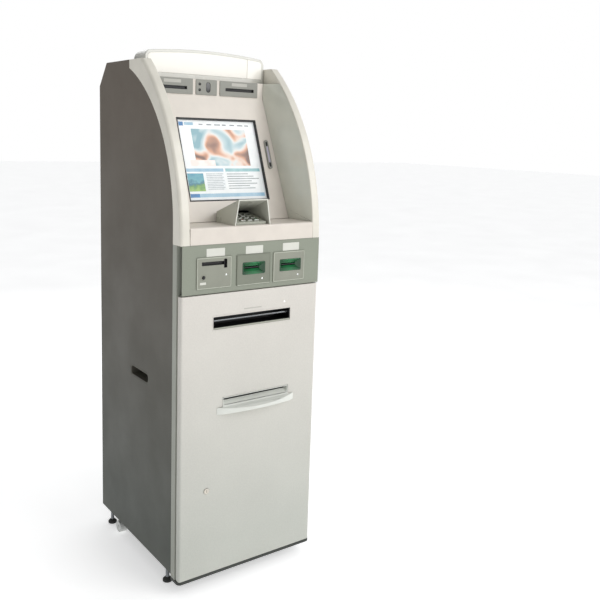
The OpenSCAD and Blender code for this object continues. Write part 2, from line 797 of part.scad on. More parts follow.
// Two wheels fixed to one axle that turns in the pan's brackets
module transport_wheels() color("#c8cac6") at_home() {
    rod_x(wheel_y, wheel_z, -wheel_x - wheel_w / 2 - 2, wheel_x + wheel_w / 2 + 2, axle_r);
    both() rod_x(wheel_y, wheel_z, wheel_x - wheel_w / 2, wheel_x + wheel_w / 2, wheel_r);
}

// ---- drawing ----------------------------------------------------------------------------------

base_pan();
side_panel_left();
side_panel_right();
top_cover();
front_posts();
band_panel();
shelf_chin();
cheek_left();
cheek_right();
inner_walls();
console_panel();
monitor();
touch_glass();
header_housing();
header_sign();
header_lamp();
upper_reader_left();
upper_sensor();
upper_reader_right();
side_reader();
keypad_hood();
keypad_case();
reader_left();
reader_centre();
reader_right();
handle_cups();
power_inlet();
equipment_shelves();
computer();
power_supply();
printer();
card_dispenser();
hinge_pins();
fasteners();
front_door();
document_slot();
output_tray();
door_lock();
rear_door();
rear_lock();
push_button();
rocker_switch();
paper_roll();
transport_wheels();
foot_front_left();
foot_front_right();
foot_rear_left();
foot_rear_right();
key_1();
key_2();
key_3();
key_4();
key_5();
key_6();
key_7();
key_8();
key_9();
key_clear();
key_0();
key_enter();
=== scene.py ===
"""Free-standing banking terminal: rounded skins, fittings, finishes and a studio round its CAD frame."""
import math

import bmesh
import bpy
from mathutils import Matrix, Vector


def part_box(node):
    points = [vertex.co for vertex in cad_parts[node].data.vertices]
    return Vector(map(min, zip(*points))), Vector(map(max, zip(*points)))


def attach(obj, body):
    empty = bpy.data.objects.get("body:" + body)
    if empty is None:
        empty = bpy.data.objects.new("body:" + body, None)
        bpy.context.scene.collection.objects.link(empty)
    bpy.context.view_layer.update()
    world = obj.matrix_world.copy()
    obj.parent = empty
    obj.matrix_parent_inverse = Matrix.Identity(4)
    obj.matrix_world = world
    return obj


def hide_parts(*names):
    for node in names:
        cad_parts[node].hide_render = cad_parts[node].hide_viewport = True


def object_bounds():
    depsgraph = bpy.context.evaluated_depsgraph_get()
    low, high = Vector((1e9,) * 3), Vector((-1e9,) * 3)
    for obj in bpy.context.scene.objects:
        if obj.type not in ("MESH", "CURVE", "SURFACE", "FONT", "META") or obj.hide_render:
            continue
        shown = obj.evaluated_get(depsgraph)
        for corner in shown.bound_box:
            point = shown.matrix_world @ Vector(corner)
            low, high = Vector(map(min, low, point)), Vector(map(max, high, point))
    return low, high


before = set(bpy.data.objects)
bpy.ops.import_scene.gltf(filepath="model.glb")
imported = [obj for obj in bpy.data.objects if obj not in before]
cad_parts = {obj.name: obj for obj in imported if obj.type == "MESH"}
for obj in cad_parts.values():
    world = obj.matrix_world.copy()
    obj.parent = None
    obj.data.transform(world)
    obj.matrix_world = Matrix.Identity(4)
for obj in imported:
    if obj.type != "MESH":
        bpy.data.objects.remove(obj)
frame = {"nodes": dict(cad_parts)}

CAD_LOW, CAD_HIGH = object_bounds()

bl_info = {
    "name": "Banking Terminal",
    "version": (1, 0, 0),
    "blender": (4, 5, 0),
    "location": "View3D > Sidebar > Terminal",
    "description": "Builds the skins, fittings, finishes and studio of a free-standing banking terminal",
    "category": "Add Mesh",
}

MM = 0.001

# Reference planes, taken from the frame: the door's face, its lower edge and the writing shelf
FACE_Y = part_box("front_door")[0].y
BASE_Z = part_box("band_panel")[1].z - 1031.7 * MM
SHELF_Z = 1083
CONSOLE_LEAN = math.radians(21.1)
PAD_SLOPE = math.radians(11)
PAD_X, PAD_Y, PAD_Z = -6.5, 10, 1091.3
KEY_TOP = 4
ROW_PITCH, COLUMN_PITCH, FIRST_ROW = 20, 24, 15
HOOD_R, HOOD_CENTRE_Z = 690, 1032
READER_Z = 948
MOUTH_X = (0, 136)
BUTTON_X, BUTTON_Z = -174, 936
STRIP_Z = 1494
SIGN_JOINT = 152
CHEEK_WIDTH = 31
WELD = 0.005 * MM
FLAT = math.radians(0.4)
SHARP = math.radians(34)
SMOOTH = math.radians(40)


def linear(code):
    """Turns an sRGB hex colour into the linear red, green and blue that shaders use."""
    channels = [int(code[i:i + 2], 16) / 255 for i in (1, 3, 5)]
    return tuple(c / 12.92 if c <= 0.04045 else ((c + 0.055) / 1.055) ** 2.4 for c in channels)


# ---- sizes and colours ------------------------------------------------------------------------


def length(name, description, default):
    """A length that a user may change, in metres."""
    return bpy.props.FloatProperty(
        name=name, description=description, default=default, min=0.0, subtype="DISTANCE", unit="LENGTH")


def colour(name, description, code):
    """A colour that a user may change, given as sRGB hex."""
    return bpy.props.FloatVectorProperty(
        name=name, description=description, default=linear(code), size=3, min=0.0, max=1.0,
        subtype="COLOR")


class TerminalSizes(bpy.types.PropertyGroup):
    """Radii and thicknesses that finish the terminal's pieces."""

    sheet_edge: length("Sheet edge", "Radius on the edges of folded sheet steel", 0.7 * MM)
    moulded_edge: length("Moulded edge", "Radius on the edges of moulded covers", 1.0 * MM)
    header_edge: length("Header edge", "Radius round the header's front rim", 2.4 * MM)
    cheek_edge: length("Cheek edge", "Radius along the hood's outer front edge", 10 * MM)
    cheek_inner_edge: length("Cheek inner edge", "Radius along the hood's inner front edge", 3 * MM)
    digit: length("Digit", "Height of the figures on the keys", 8.5 * MM)


class TerminalColours(bpy.types.PropertyGroup):
    """Colours of the terminal's finishes."""

    # Side colours are painted shade: darker near the floor, lighter and browner near the top, as the light
    # from above falls.
    side_low: colour("Side, low", "Powder coat near the floor", "#3e433b")
    side_high: colour("Side, high", "Powder coat near the top", "#5f564b")
    # Door colours are painted shade as well: greyer and darker near the floor, warmer and lighter near the
    # top.
    door_low: colour("Door, low", "Door paint near the floor", "#bbbdb5")
    door_high: colour("Door, high", "Door paint near the top", "#e3dbd4")
    band: colour("Band", "Grey-green reader band", "#8a8f81")
    frame: colour("Frame strip", "Grey strip beside the door", "#a0a398")
    hood: colour("Hood", "Warm white hood cheeks", "#e0dcd0")
    console: colour("Console", "Cream console and shelf", "#dbd3c9")
    # The lining's light tone is partly a painted reflection of the console.
    lining: colour("Lining", "Olive-grey hood lining", "#d3d4c8")
    header: colour("Header", "Warm white header", "#d9d8d0")
    sign: colour("Sign", "Opal sign lens", "#f3f0e8")
    plinth: colour("Plinth", "Black plinth and frame", "#2e312d")
    key: colour("Keys", "Satin metal keys", "#c7c8c2")
    mouth: colour("Mouth", "Green reader mouths", "#1f6a3d")


def sizes():
    """The sizes in use."""
    return bpy.context.scene.terminal_sizes


def colours():
    """The colours in use."""
    return bpy.context.scene.terminal_colours


# ---- places -----------------------------------------------------------------------------------


def at(x, depth, height):
    """A point given in millimetres: across, back from the door's face, up from its lower edge."""
    return Vector((x * MM, FACE_Y + depth * MM, BASE_Z + height * MM))


def facing(x, depth, height):
    """A place on an upright surface: X across, Y up, Z towards the customer."""
    return Matrix.Translation(at(x, depth, height)) @ Matrix.Rotation(math.pi / 2, 4, "X")


def behind(x, depth, height):
    """A place on an upright surface that looks backwards: Z away from the customer."""
    turn = Matrix.Rotation(math.pi, 4, "Z") @ Matrix.Rotation(math.pi / 2, 4, "X")
    return Matrix.Translation(at(x, depth, height)) @ turn


def on_console(x, up, out):
    """A place on the leaning console, in millimetres across, up the slope and out of it."""
    base = Matrix.Translation(at(0, 113, SHELF_Z)) @ Matrix.Rotation(math.pi / 2 - CONSOLE_LEAN, 4, "X")
    return base @ Matrix.Translation(Vector((x, up, out)) * MM)


def on_pad(x, up, out):
    """A place on the sloping keypad, in millimetres across, up the slope and out of it."""
    base = Matrix.Translation(at(PAD_X, PAD_Y, PAD_Z)) @ Matrix.Rotation(PAD_SLOPE, 4, "X")
    return base @ Matrix.Translation(Vector((x, up, out)) * MM)


def along_x(x, depth, height):
    """A place whose Z runs along +X."""
    return Matrix.Translation(at(x, depth, height)) @ Matrix.Rotation(math.pi / 2, 4, "Y")


# ---- shapes -----------------------------------------------------------------------------------


def bevel(bm, edges, radius, steps, clamp=True):
    """Rounds edges to a radius."""
    if edges:
        bmesh.ops.bevel(
            bm, geom=edges, offset=radius, offset_type="OFFSET", segments=steps, profile=0.5,
            affect="EDGES", material=-1, clamp_overlap=clamp)


def sharp_edges(bm):
    """Edges where two faces meet at a clear angle."""
    return [e for e in bm.edges if e.is_manifold and e.calc_face_angle(0.0) > SHARP]


def front_face(bm):
    """The face that looks along +Z and lies highest."""
    bm.normal_update()
    level = [f for f in bm.faces if f.normal.z > 0.9]
    return max(level, key=lambda f: f.calc_center_median().z)


def plate(width, height, thick, corner=0.0, edge=0.0, steps=5):
    """A plate in millimetres, centred, its back on Z = 0, with round corners and a rounded front edge."""
    bm = bmesh.new()
    bmesh.ops.create_cube(bm, size=1.0)
    bmesh.ops.scale(bm, vec=Vector((width, height, thick)) * MM, verts=bm.verts)
    bmesh.ops.translate(bm, vec=(0, 0, thick * MM / 2), verts=bm.verts)
    if corner:
        upright = [e for e in bm.edges if abs(e.verts[0].co.z - e.verts[1].co.z) > thick * MM / 2]
        bevel(bm, upright, corner * MM, steps)
    if edge:
        bevel(bm, list(front_face(bm).edges), edge * MM, 3)
    return bm


def socket(width, height, deep, wall=1.0, corner=0.0):
    """A plate hollowed from its front: a shallow cup with thin walls."""
    bm = plate(width, height, deep, corner)
    front = front_face(bm)
    bmesh.ops.inset_region(bm, faces=[front], thickness=wall * MM, depth=0.0, use_even_offset=True)
    floor = bmesh.ops.extrude_discrete_faces(bm, faces=[front])["faces"]
    bmesh.ops.translate(
        bm, vec=(0, 0, -(deep - 1) * MM), verts=list({v for f in floor for v in f.verts}))
    bmesh.ops.remove_doubles(bm, verts=bm.verts, dist=WELD)
    return bm


def rim(width, height, border, thick, corner=0.0, edge=0.0):
    """A flat frame with an opening, in millimetres."""
    bm = plate(width, height, thick, corner)
    front = front_face(bm)
    back = min(bm.faces, key=lambda f: f.calc_center_median().z)
    bmesh.ops.inset_individual(bm, faces=[front, back], thickness=border * MM, use_even_offset=True)
    loops = list(front.edges) + list(back.edges)
    bmesh.ops.delete(bm, geom=[front, back], context="FACES_ONLY")
    bmesh.ops.bridge_loops(bm, edges=loops)
    bmesh.ops.recalc_face_normals(bm, faces=bm.faces)
    if edge:
        bevel(bm, sharp_edges(bm), edge * MM, 2)
    return bm


def lathe(profile, steps=40):
    """Spins a profile of (radius, height) in millimetres about Z into a closed shape."""
    bm = bmesh.new()
    verts = [bm.verts.new((r * MM, 0.0, z * MM)) for r, z in profile]
    edges = [bm.edges.new(pair) for pair in zip(verts, verts[1:])]
    bmesh.ops.spin(
        bm, geom=verts + edges, cent=(0, 0, 0), axis=(0, 0, 1), angle=math.tau, steps=steps,
        use_merge=True, use_duplicate=False)
    bmesh.ops.remove_doubles(bm, verts=bm.verts, dist=WELD)
    bmesh.ops.recalc_face_normals(bm, faces=bm.faces)
    return bm


def dome(radius, proud, sunk=1.0):
    """A small lens with a flat back, in millimetres."""
    arc = [(radius * math.cos(a), proud * math.sin(a)) for a in
           [math.pi / 2 * i / 6 for i in range(7)]]
    return lathe([(0, -sunk), (radius, -sunk)] + arc[:-1] + [(0, proud)], 24)


def placed(bm, place):
    """Moves a shape to its place."""
    bmesh.ops.transform(bm, matrix=place, verts=bm.verts)
    return bm


def piece(name, body, parts, replaces=()):
    """Joins (shape, material) pairs into one object that rides on a body."""
    whole = bmesh.new()
    finishes = []
    for shape, finish in parts:
        if finish not in finishes:
            finishes.append(finish)
        for face in shape.faces:
            face.material_index = finishes.index(finish)
        part = bpy.data.meshes.new("part")
        shape.to_mesh(part)
        shape.free()
        whole.from_mesh(part)
        bpy.data.meshes.remove(part)
    mesh = bpy.data.meshes.new(name)
    whole.to_mesh(mesh)
    whole.free()
    for finish in finishes:
        mesh.materials.append(finish)
    mesh.shade_smooth()
    mesh.set_sharp_from_angle(angle=SMOOTH)
    made = bpy.data.objects.new(name, mesh)
    bpy.context.scene.collection.objects.link(made)
    level = made.modifiers.new("weighted_normals", "WEIGHTED_NORMAL")
    level.keep_sharp = True
    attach(made, body)
    if replaces:
        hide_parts(*replaces)
    return made


def merged(node):
    """A copy of a CAD node with its loose triangles joined into whole faces."""
    bm = bmesh.new()
    bm.from_mesh(frame["nodes"][node].data)
    bmesh.ops.remove_doubles(bm, verts=bm.verts, dist=WELD)
    bmesh.ops.dissolve_limit(
        bm, angle_limit=FLAT, use_dissolve_boundaries=False, verts=bm.verts[:], edges=bm.edges[:])
    return bm


def skin(node, body, finish, radius, steps=2, rules=()):
    """Stands for a CAD node: its merged copy with rounded edges."""
    bm = merged(node)
    for rule_radius, rule_steps, chosen in rules:
        bevel(bm, [e for e in sharp_edges(bm) if chosen(e)], rule_radius, rule_steps, clamp=False)
    bevel(bm, sharp_edges(bm), radius, steps, clamp=False)
    return piece(node + "_skin", body, [(bm, finish)], replaces=[node])


def dress(node, finish):
    """Gives a CAD node its finish."""
    materials = frame["nodes"][node].data.materials
    materials.clear()
    materials.append(finish)


# ---- finishes ---------------------------------------------------------------------------------

# A noise texture mostly stays between these values, so its range is stretched from them
QUIET, LOUD = 0.3, 0.7
# Sockets of a Mix node that blends two colours
FACTOR, FIRST, SECOND, BLEND = 0, 6, 7, 2


def add(tree, kind, inputs=None, **settings):
    """Adds one node, applies its settings, and fills or links its inputs."""
    node = tree.nodes.new(kind)
    for name, value in settings.items():
        setattr(node, name, value)
    for socket_key, value in (inputs or {}).items():
        if isinstance(value, bpy.types.NodeSocket):
            tree.links.new(value, node.inputs[socket_key])
        else:
            node.inputs[socket_key].default_value = value
    return node


def rgba(value):
    """A colour with full alpha, from a property or an sRGB hex code."""
    return (*(linear(value) if isinstance(value, str) else value), 1.0)


def shaded(value, gain):
    """A colour made lighter or darker."""
    return (*(min(1.0, c * gain) for c in value[:3]), 1.0)


def per_metre(size_mm):
    """Texture scale that makes one feature about this many millimetres."""
    return 1000.0 / size_mm


def finish_named(name, build):
    """The material of this name, built by build(tree, where) the first time it is asked for."""
    made = bpy.data.materials.get(name)
    if made:
        return made
    made = bpy.data.materials.new(name)
    made.use_nodes = True
    tree = made.node_tree
    tree.nodes.clear()
    where = add(tree, "ShaderNodeTexCoord").outputs["Object"]
    shader = build(tree, where)
    add(tree, "ShaderNodeOutputMaterial", {"Surface": shader.outputs[0]})
    return made


def patchy(tree, where, patch_mm, first, second, lowest=QUIET, highest=LOUD):
    """Two colours that drift into each other in soft patches: gives the noise and the colour."""
    noise = add(tree, "ShaderNodeTexNoise", {
        "Vector": where, "Scale": per_metre(patch_mm), "Detail": 3.0, "Roughness": 0.55}).outputs["Fac"]
    share = add(tree, "ShaderNodeMapRange", {
        "Value": noise, "From Min": lowest, "From Max": highest}).outputs[0]
    tone = add(tree, "ShaderNodeMix", {
        FACTOR: share, FIRST: first, SECOND: second}, data_type="RGBA").outputs[BLEND]
    return noise, tone


def sprayed(name, low, high, grit_mm, depth_mm, rough):
    """Paint that changes slowly with height, which is painted shade on most coats, with a fine orange-peel
    skin and slight cloudiness.
    """
    def build(tree, where):
        # The blend with height is painted shade on the side, door and frame coats: darker towards the floor,
        # lighter towards the top, as the light from above falls. On the plinth the lighter low colour stands
        # for dust.
        height = add(tree, "ShaderNodeSeparateXYZ", {"Vector": where}).outputs["Z"]
        rise = add(tree, "ShaderNodeMapRange", {
            "Value": height, "From Min": CAD_LOW.z + 150 * MM, "From Max": CAD_HIGH.z - 200 * MM}).outputs[0]
        patch = add(tree, "ShaderNodeTexNoise", {
            "Vector": where, "Scale": per_metre(170), "Detail": 3.0, "Roughness": 0.55}).outputs["Fac"]
        grit = add(tree, "ShaderNodeTexNoise", {
            "Vector": where, "Scale": per_metre(grit_mm), "Detail": 2.0, "Roughness": 0.55}).outputs["Fac"]
        plain, worn, lit = [
            add(tree, "ShaderNodeMix", {
                FACTOR: rise, FIRST: shaded(low, low_gain), SECOND: shaded(high, high_gain)},
                data_type="RGBA").outputs[BLEND]
            for low_gain, high_gain in ((1.0, 1.0), (0.9, 0.9), (1.3, 1.22))]
        wear = add(tree, "ShaderNodeMapRange", {
            "Value": patch, "From Min": QUIET, "From Max": LOUD, "To Max": 0.5}).outputs[0]
        spark = add(tree, "ShaderNodeMapRange", {
            "Value": grit, "From Min": QUIET, "From Max": LOUD, "To Max": 0.22}).outputs[0]
        coat = add(tree, "ShaderNodeMix", {
            FACTOR: wear, FIRST: plain, SECOND: worn}, data_type="RGBA").outputs[BLEND]
        grain = add(tree, "ShaderNodeMix", {
            FACTOR: spark, FIRST: coat, SECOND: lit}, data_type="RGBA").outputs[BLEND]
        sheen = add(tree, "ShaderNodeMapRange", {
            "Value": patch, "From Min": QUIET, "From Max": LOUD, "To Min": rough - 0.05,
            "To Max": rough + 0.06}).outputs[0]
        bump = add(tree, "ShaderNodeBump", {"Height": grit, "Strength": 0.5, "Distance": depth_mm * MM})
        return add(tree, "ShaderNodeBsdfPrincipled", {
            "Base Color": grain, "Roughness": sheen, "IOR": 1.5, "Normal": bump.outputs["Normal"]})
    return finish_named(name, build)


def side_paint():
    """Textured polyester powder coat on steel: dull and slightly pebbled; darker near the floor and lighter,
    browner towards the top, which is painted shade.
    The real grit is about 0.3 mm; it is drawn at 4 mm so that it still shows from a few metres."""
    low, high = rgba(colours().side_low), rgba(colours().side_high)
    return sprayed("powder_coat_taupe", low, high, 4.0, 0.22, 0.52)


def door_paint():
    """Smooth satin powder coat on steel: soft broad highlights and hardly any grain; its greyer, darker foot
    and warmer, lighter top are painted shade.
    """
    low, high = rgba(colours().door_low), rgba(colours().door_high)
    return sprayed("powder_coat_off_white", low, high, 5.0, 0.05, 0.4)


def band_paint():
    """Satin enamel on steel: grey-green with a faint sheen."""
    tone = rgba(colours().band)
    return sprayed("enamel_grey_green", tone, shaded(tone, 1.04), 4.0, 0.08, 0.42)


def frame_paint():
    """Satin enamel on the folded uprights: a little lighter than the band, darker towards the floor as
    painted shade.
    """
    tone = rgba(colours().frame)
    return sprayed("enamel_frame_grey", shaded(tone, 0.86), tone, 4.0, 0.06, 0.4)


def plinth_paint():
    """Coarse black powder coat: almost no shine, grey where dust has settled."""
    tone = rgba(colours().plinth)
    return sprayed("powder_coat_black", shaded(tone, 1.25), tone, 5.0, 0.2, 0.6)


def moulding(name, tone, rough, grain_mm=3.5, depth_mm=0.05, coat=0.0, contrast=0.06):
    """Injection-moulded ABS: even colour, faint spark-eroded grain, slight flow clouding.
    The real grain is about 0.1 mm; it is drawn at some millimetres so that it still shows."""
    def build(tree, where):
        flow, base = patchy(tree, where, 90, shaded(tone, 1.0 - contrast), shaded(tone, 1.0 + contrast))
        grain = add(tree, "ShaderNodeTexNoise", {
            "Vector": where, "Scale": per_metre(grain_mm), "Detail": 2.0, "Roughness": 0.55}).outputs["Fac"]
        sheen = add(tree, "ShaderNodeMapRange", {
            "Value": flow, "From Min": QUIET, "From Max": LOUD, "To Min": rough - 0.04,
            "To Max": rough + 0.05}).outputs[0]
        bump = add(tree, "ShaderNodeBump", {"Height": grain, "Strength": 0.4, "Distance": depth_mm * MM})
        return add(tree, "ShaderNodeBsdfPrincipled", {
            "Base Color": base, "Roughness": sheen, "Normal": bump.outputs["Normal"], "IOR": 1.53,
            "Coat Weight": coat, "Coat Roughness": 0.12})
    return finish_named(name, build)


def hood_abs():
    """Warm white ABS cheeks, sprayed with satin lacquer: smooth with a broad highlight."""
    return moulding("abs_warm_white", rgba(colours().hood), 0.33, 4.0, 0.03, 0.15)


def console_abs():
    """Cream satin ABS of the console and shelf."""
    return moulding("abs_cream", rgba(colours().console), 0.36, 4.0, 0.03, 0.1)


def lining_abs():
    """Semi-gloss olive-grey ABS lining: its coat mirrors the console beside it as a soft band, and its light
    tone is partly a painted reflection of the console too.
    """
    return moulding("abs_olive_gloss", rgba(colours().lining), 0.22, 6.0, 0.02, 0.4, 0.05)


def header_abs():
    """Glossy warm white ABS of the header."""
    return moulding("abs_header_white", rgba(colours().header), 0.26, 5.0, 0.02, 0.3, 0.03)


def reader_abs():
    """Textured grey ABS bezels of the card readers."""
    return moulding("abs_reader_grey", rgba("#8e9083"), 0.45, 3.5, 0.08)


def strip_abs():
    """Neutral grey ABS bezels under the header."""
    return moulding("abs_strip_grey", rgba("#8f8f87"), 0.42, 3.5, 0.06)


def dark_reader_abs():
    """Darker grey ABS of the middle reader."""
    return moulding("abs_reader_dark_grey", rgba("#7d8173"), 0.45, 3.5, 0.08)


def rim_abs():
    """Light grey ABS: on the readers' rims and sill it is a painted highlight along the bezel's step, where
    light catches it; it also colours the card dispenser.
    """
    return moulding("abs_rim_light", rgba("#b9bdae"), 0.3, 3.0, 0.02)


def guard_abs():
    """Olive-grey ABS of the keypad guard, semi-gloss."""
    return moulding("abs_guard_olive", rgba("#b9b9ad"), 0.3, 4.0, 0.03, 0.2)


def black_abs():
    """Black satin ABS: slots, display frame and button."""
    return moulding("abs_black", rgba("#0c0c0e"), 0.42, 3.0, 0.05, 0.0, 0.2)


def cup_abs():
    """Dark olive ABS of the lifting cups, scuffed to a dull sheen."""
    return moulding("abs_cup_olive", rgba("#55534a"), 0.5, 3.5, 0.06, 0.0, 0.15)


def trim_abs():
    """Light grey ABS edge trim: a painted highlight along the guard's front edge."""
    return moulding("abs_trim_light", rgba("#dcdcd2"), 0.28, 3.5, 0.02, 0.2)


def case_abs():
    """Grey-green ABS of the keypad's case and the printer."""
    return moulding("abs_case_grey_green", rgba("#a3a598"), 0.45, 3.5, 0.06)


def grey_vinyl():
    """Blank light grey vinyl label: matt and low in contrast."""
    return moulding("vinyl_label_grey", rgba("#bab8b0"), 0.5, 6.0, 0.01, 0.0, 0.03)


def tray_abs():
    """Light grey satin ABS of the output tray."""
    return moulding("abs_tray_light_grey", rgba("#dadcd5"), 0.32, 4.0, 0.03, 0.15)


def lavender_film():
    """Printed polyester film over the narrow reader: pale lavender, glossy."""
    return moulding("film_lavender", rgba("#b9b4c4"), 0.2, 6.0, 0.0, 0.3)


def label_vinyl():
    """Blank white vinyl label: matt, very slightly yellowed."""
    return moulding("vinyl_label_white", rgba("#d6d6cd"), 0.5, 6.0, 0.01, 0.0, 0.03)


def ink():
    """Pad-printed ink of the figures on the keys."""
    return moulding("ink_dark_grey", rgba("#2b2c2e"), 0.5, 2.0, 0.0)


def red_ink():
    """Pad-printed red ink on the clear key."""
    return moulding("ink_red", rgba("#a8322a"), 0.5, 2.0, 0.0)


def green_ink():
    """Pad-printed green ink on the enter key."""
    return moulding("ink_green", rgba("#2c7a45"), 0.5, 2.0, 0.0)


def wheel_nylon():
    """Turned light grey nylon: waxy, slightly see-through at the edges."""
    return moulding("nylon_light_grey", rgba("#c9cbc8"), 0.4, 3.0, 0.05, 0.0, 0.08)


def foot_rubber():
    """Black moulded rubber: matt with dust in its texture."""
    return moulding("rubber_foot", rgba("#30312f"), 0.75, 3.0, 0.2, 0.0, 0.25)


def roll_paper():
    """Thermal paper, wound tight: matt white, with its fibres drawn 2 mm long so that they show."""
    def build(tree, where):
        fibre, tone = patchy(tree, where, 2, rgba("#efede4"), rgba("#f8f7f2"))
        bump = add(tree, "ShaderNodeBump", {"Height": fibre, "Strength": 0.3, "Distance": 0.05 * MM})
        return add(tree, "ShaderNodeBsdfPrincipled", {
            "Base Color": tone, "Roughness": 0.85, "Normal": bump.outputs["Normal"], "IOR": 1.46})
    return finish_named("paper_thermal", build)


def brushed(name, tone, rough, stretch):
    """Metal with fine lines from a brush or a lathe, drawn 2 mm apart so that they show."""
    def build(tree, where):
        drawn = add(tree, "ShaderNodeMapping", {"Vector": where, "Scale": stretch}).outputs["Vector"]
        lines = add(tree, "ShaderNodeTexNoise", {
            "Vector": drawn, "Scale": per_metre(2), "Detail": 4.0, "Roughness": 0.55}).outputs["Fac"]
        base = patchy(tree, where, 60, shaded(tone, 0.88), tone)[1]
        sheen = add(tree, "ShaderNodeMapRange", {
            "Value": lines, "From Min": QUIET, "From Max": LOUD, "To Min": rough - 0.08,
            "To Max": rough + 0.1}).outputs[0]
        bump = add(tree, "ShaderNodeBump", {"Height": lines, "Strength": 0.25, "Distance": 0.04 * MM})
        return add(tree, "ShaderNodeBsdfPrincipled", {
            "Base Color": base, "Metallic": 1.0, "Roughness": sheen, "Normal": bump.outputs["Normal"]})
    return finish_named(name, build)


def zinc():
    """Zinc-plated sheet steel: cool grey, blurred reflections, faint spangle."""
    return brushed("zinc_plated_steel", rgba("#b9bcbf"), 0.38, (1.0, 0.15, 1.0))


def nickel():
    """Nickel-plated lock barrel: bright, with fine turning lines."""
    return brushed("nickel_plated_brass", rgba("#cfcabf"), 0.22, (1.0, 1.0, 1.0))


def key_steel():
    """Satin stainless steel keys: bright, brushed along the rows."""
    return brushed("stainless_steel_satin", rgba(colours().key), 0.34, (0.1, 1.0, 1.0))


def case_steel():
    """Galvanised and lacquered sheet of the equipment cases."""
    return brushed("galvanised_case", rgba("#8d9092"), 0.45, (0.2, 1.0, 1.0))


def opal_acrylic():
    """Opal acrylic sign lens, lit from behind: even warm white, brighter over its end block."""
    tone = rgba(colours().sign)
    warm = (tone[0], tone[1] * 0.985, tone[2] * 0.95, 1.0)

    def build(tree, where):
        across = add(tree, "ShaderNodeSeparateXYZ", {"Vector": where}).outputs["X"]
        end = add(tree, "ShaderNodeMapRange", {
            "Value": across, "From Min": (SIGN_JOINT - 1) * MM,
            "From Max": (SIGN_JOINT + 1) * MM}).outputs[0]
        base = add(tree, "ShaderNodeMix", {
            FACTOR: end, FIRST: shaded(tone, 0.93), SECOND: tone}, data_type="RGBA").outputs[BLEND]
        glow = patchy(tree, where, 140, shaded(warm, 0.95), tone)[1]
        return add(tree, "ShaderNodeBsdfPrincipled", {
            "Base Color": base, "Roughness": 0.18, "IOR": 1.49, "Emission Color": glow,
            "Emission Strength": 0.12, "Coat Weight": 0.2, "Coat Roughness": 0.05})
    return finish_named("acrylic_opal", build)


def green_acrylic():
    """Cast green acrylic reader mouth: painted shade darkens its ends and painted light brightens its
    middle, where light comes through.
    """
    tone = rgba(colours().mouth)

    def build(tree, where):
        across = add(tree, "ShaderNodeSeparateXYZ", {"Vector": where}).outputs["X"]
        middle = tone
        # Round each mouth: painted light in the middle, fading to painted shade at the ends.
        for x in MOUTH_X:
            reach = add(tree, "ShaderNodeMath", {0: across, 1: x * MM, 2: 45 * MM}, operation="COMPARE")
            off = add(tree, "ShaderNodeMath", {0: across, 1: x * MM}, operation="SUBTRACT")
            far = add(tree, "ShaderNodeMath", {0: off.outputs[0]}, operation="ABSOLUTE")
            end = add(tree, "ShaderNodeMapRange", {
                "Value": far.outputs[0], "From Min": 4 * MM, "From Max": 36 * MM}).outputs[0]
            lit = add(tree, "ShaderNodeMix", {
                FACTOR: end, FIRST: shaded(tone, 1.25), SECOND: shaded(tone, 0.3)},
                data_type="RGBA").outputs[BLEND]
            middle = add(tree, "ShaderNodeMix", {
                FACTOR: reach.outputs[0], FIRST: middle, SECOND: lit}, data_type="RGBA").outputs[BLEND]
        depth = add(tree, "ShaderNodeTexNoise", {
            "Vector": where, "Scale": per_metre(26), "Detail": 3.0, "Roughness": 0.55}).outputs["Fac"]
        share = add(tree, "ShaderNodeMapRange", {
            "Value": depth, "From Min": QUIET, "From Max": LOUD, "To Max": 0.5}).outputs[0]
        base = add(tree, "ShaderNodeMix", {
            FACTOR: share, FIRST: middle, SECOND: shaded(tone, 0.6)}, data_type="RGBA").outputs[BLEND]
        return add(tree, "ShaderNodeBsdfPrincipled", {
            "Base Color": base, "Roughness": 0.14, "IOR": 1.49, "Emission Color": base,
            "Emission Strength": 0.04, "Coat Weight": 0.5, "Coat Roughness": 0.05})
    return finish_named("acrylic_green", build)


def dark_acrylic():
    """Smoked acrylic over sensors: near black and mirror-smooth."""
    return moulding("acrylic_smoked", rgba("#0f1012"), 0.08, 8.0, 0.0, 0.5, 0.1)


def lamp_white():
    """Diffused white indicator lamp."""
    def build(tree, where):
        glow = patchy(tree, where, 3, rgba("#f4f6f2"), rgba("#ffffff"))[1]
        return add(tree, "ShaderNodeBsdfPrincipled", {
            "Base Color": glow, "Roughness": 0.2, "IOR": 1.49, "Emission Color": glow,
            "Emission Strength": 0.25})
    return finish_named("polycarbonate_lamp", build)


def page_tone(name, first, second, patch_mm):
    """One flat colour of the liquid-crystal page, under polished glass."""
    def build(tree, where):
        glow = patchy(tree, where, patch_mm, rgba(first), rgba(second), 0.4, 0.6)[1]
        return add(tree, "ShaderNodeBsdfPrincipled", {
            "Base Color": glow, "Roughness": 0.12, "IOR": 1.5, "Emission Color": glow,
            "Emission Strength": 0.1})
    return finish_named("display_" + name, build)


def page_picture(name, value, stops, strength):
    """A picture on the page: value(tree, where) picks its colour from the stops."""
    def build(tree, where):
        ramp = add(tree, "ShaderNodeValToRGB", {"Fac": value(tree, where)})
        while len(ramp.color_ramp.elements) < len(stops):
            ramp.color_ramp.elements.new(0.5)
        for element, (position, code) in zip(ramp.color_ramp.elements, stops):
            element.position = position
            element.color = rgba(code)
        return add(tree, "ShaderNodeBsdfPrincipled", {
            "Base Color": ramp.outputs["Color"], "Roughness": 0.12, "IOR": 1.5,
            "Emission Color": ramp.outputs["Color"], "Emission Strength": strength})
    return finish_named(name, build)


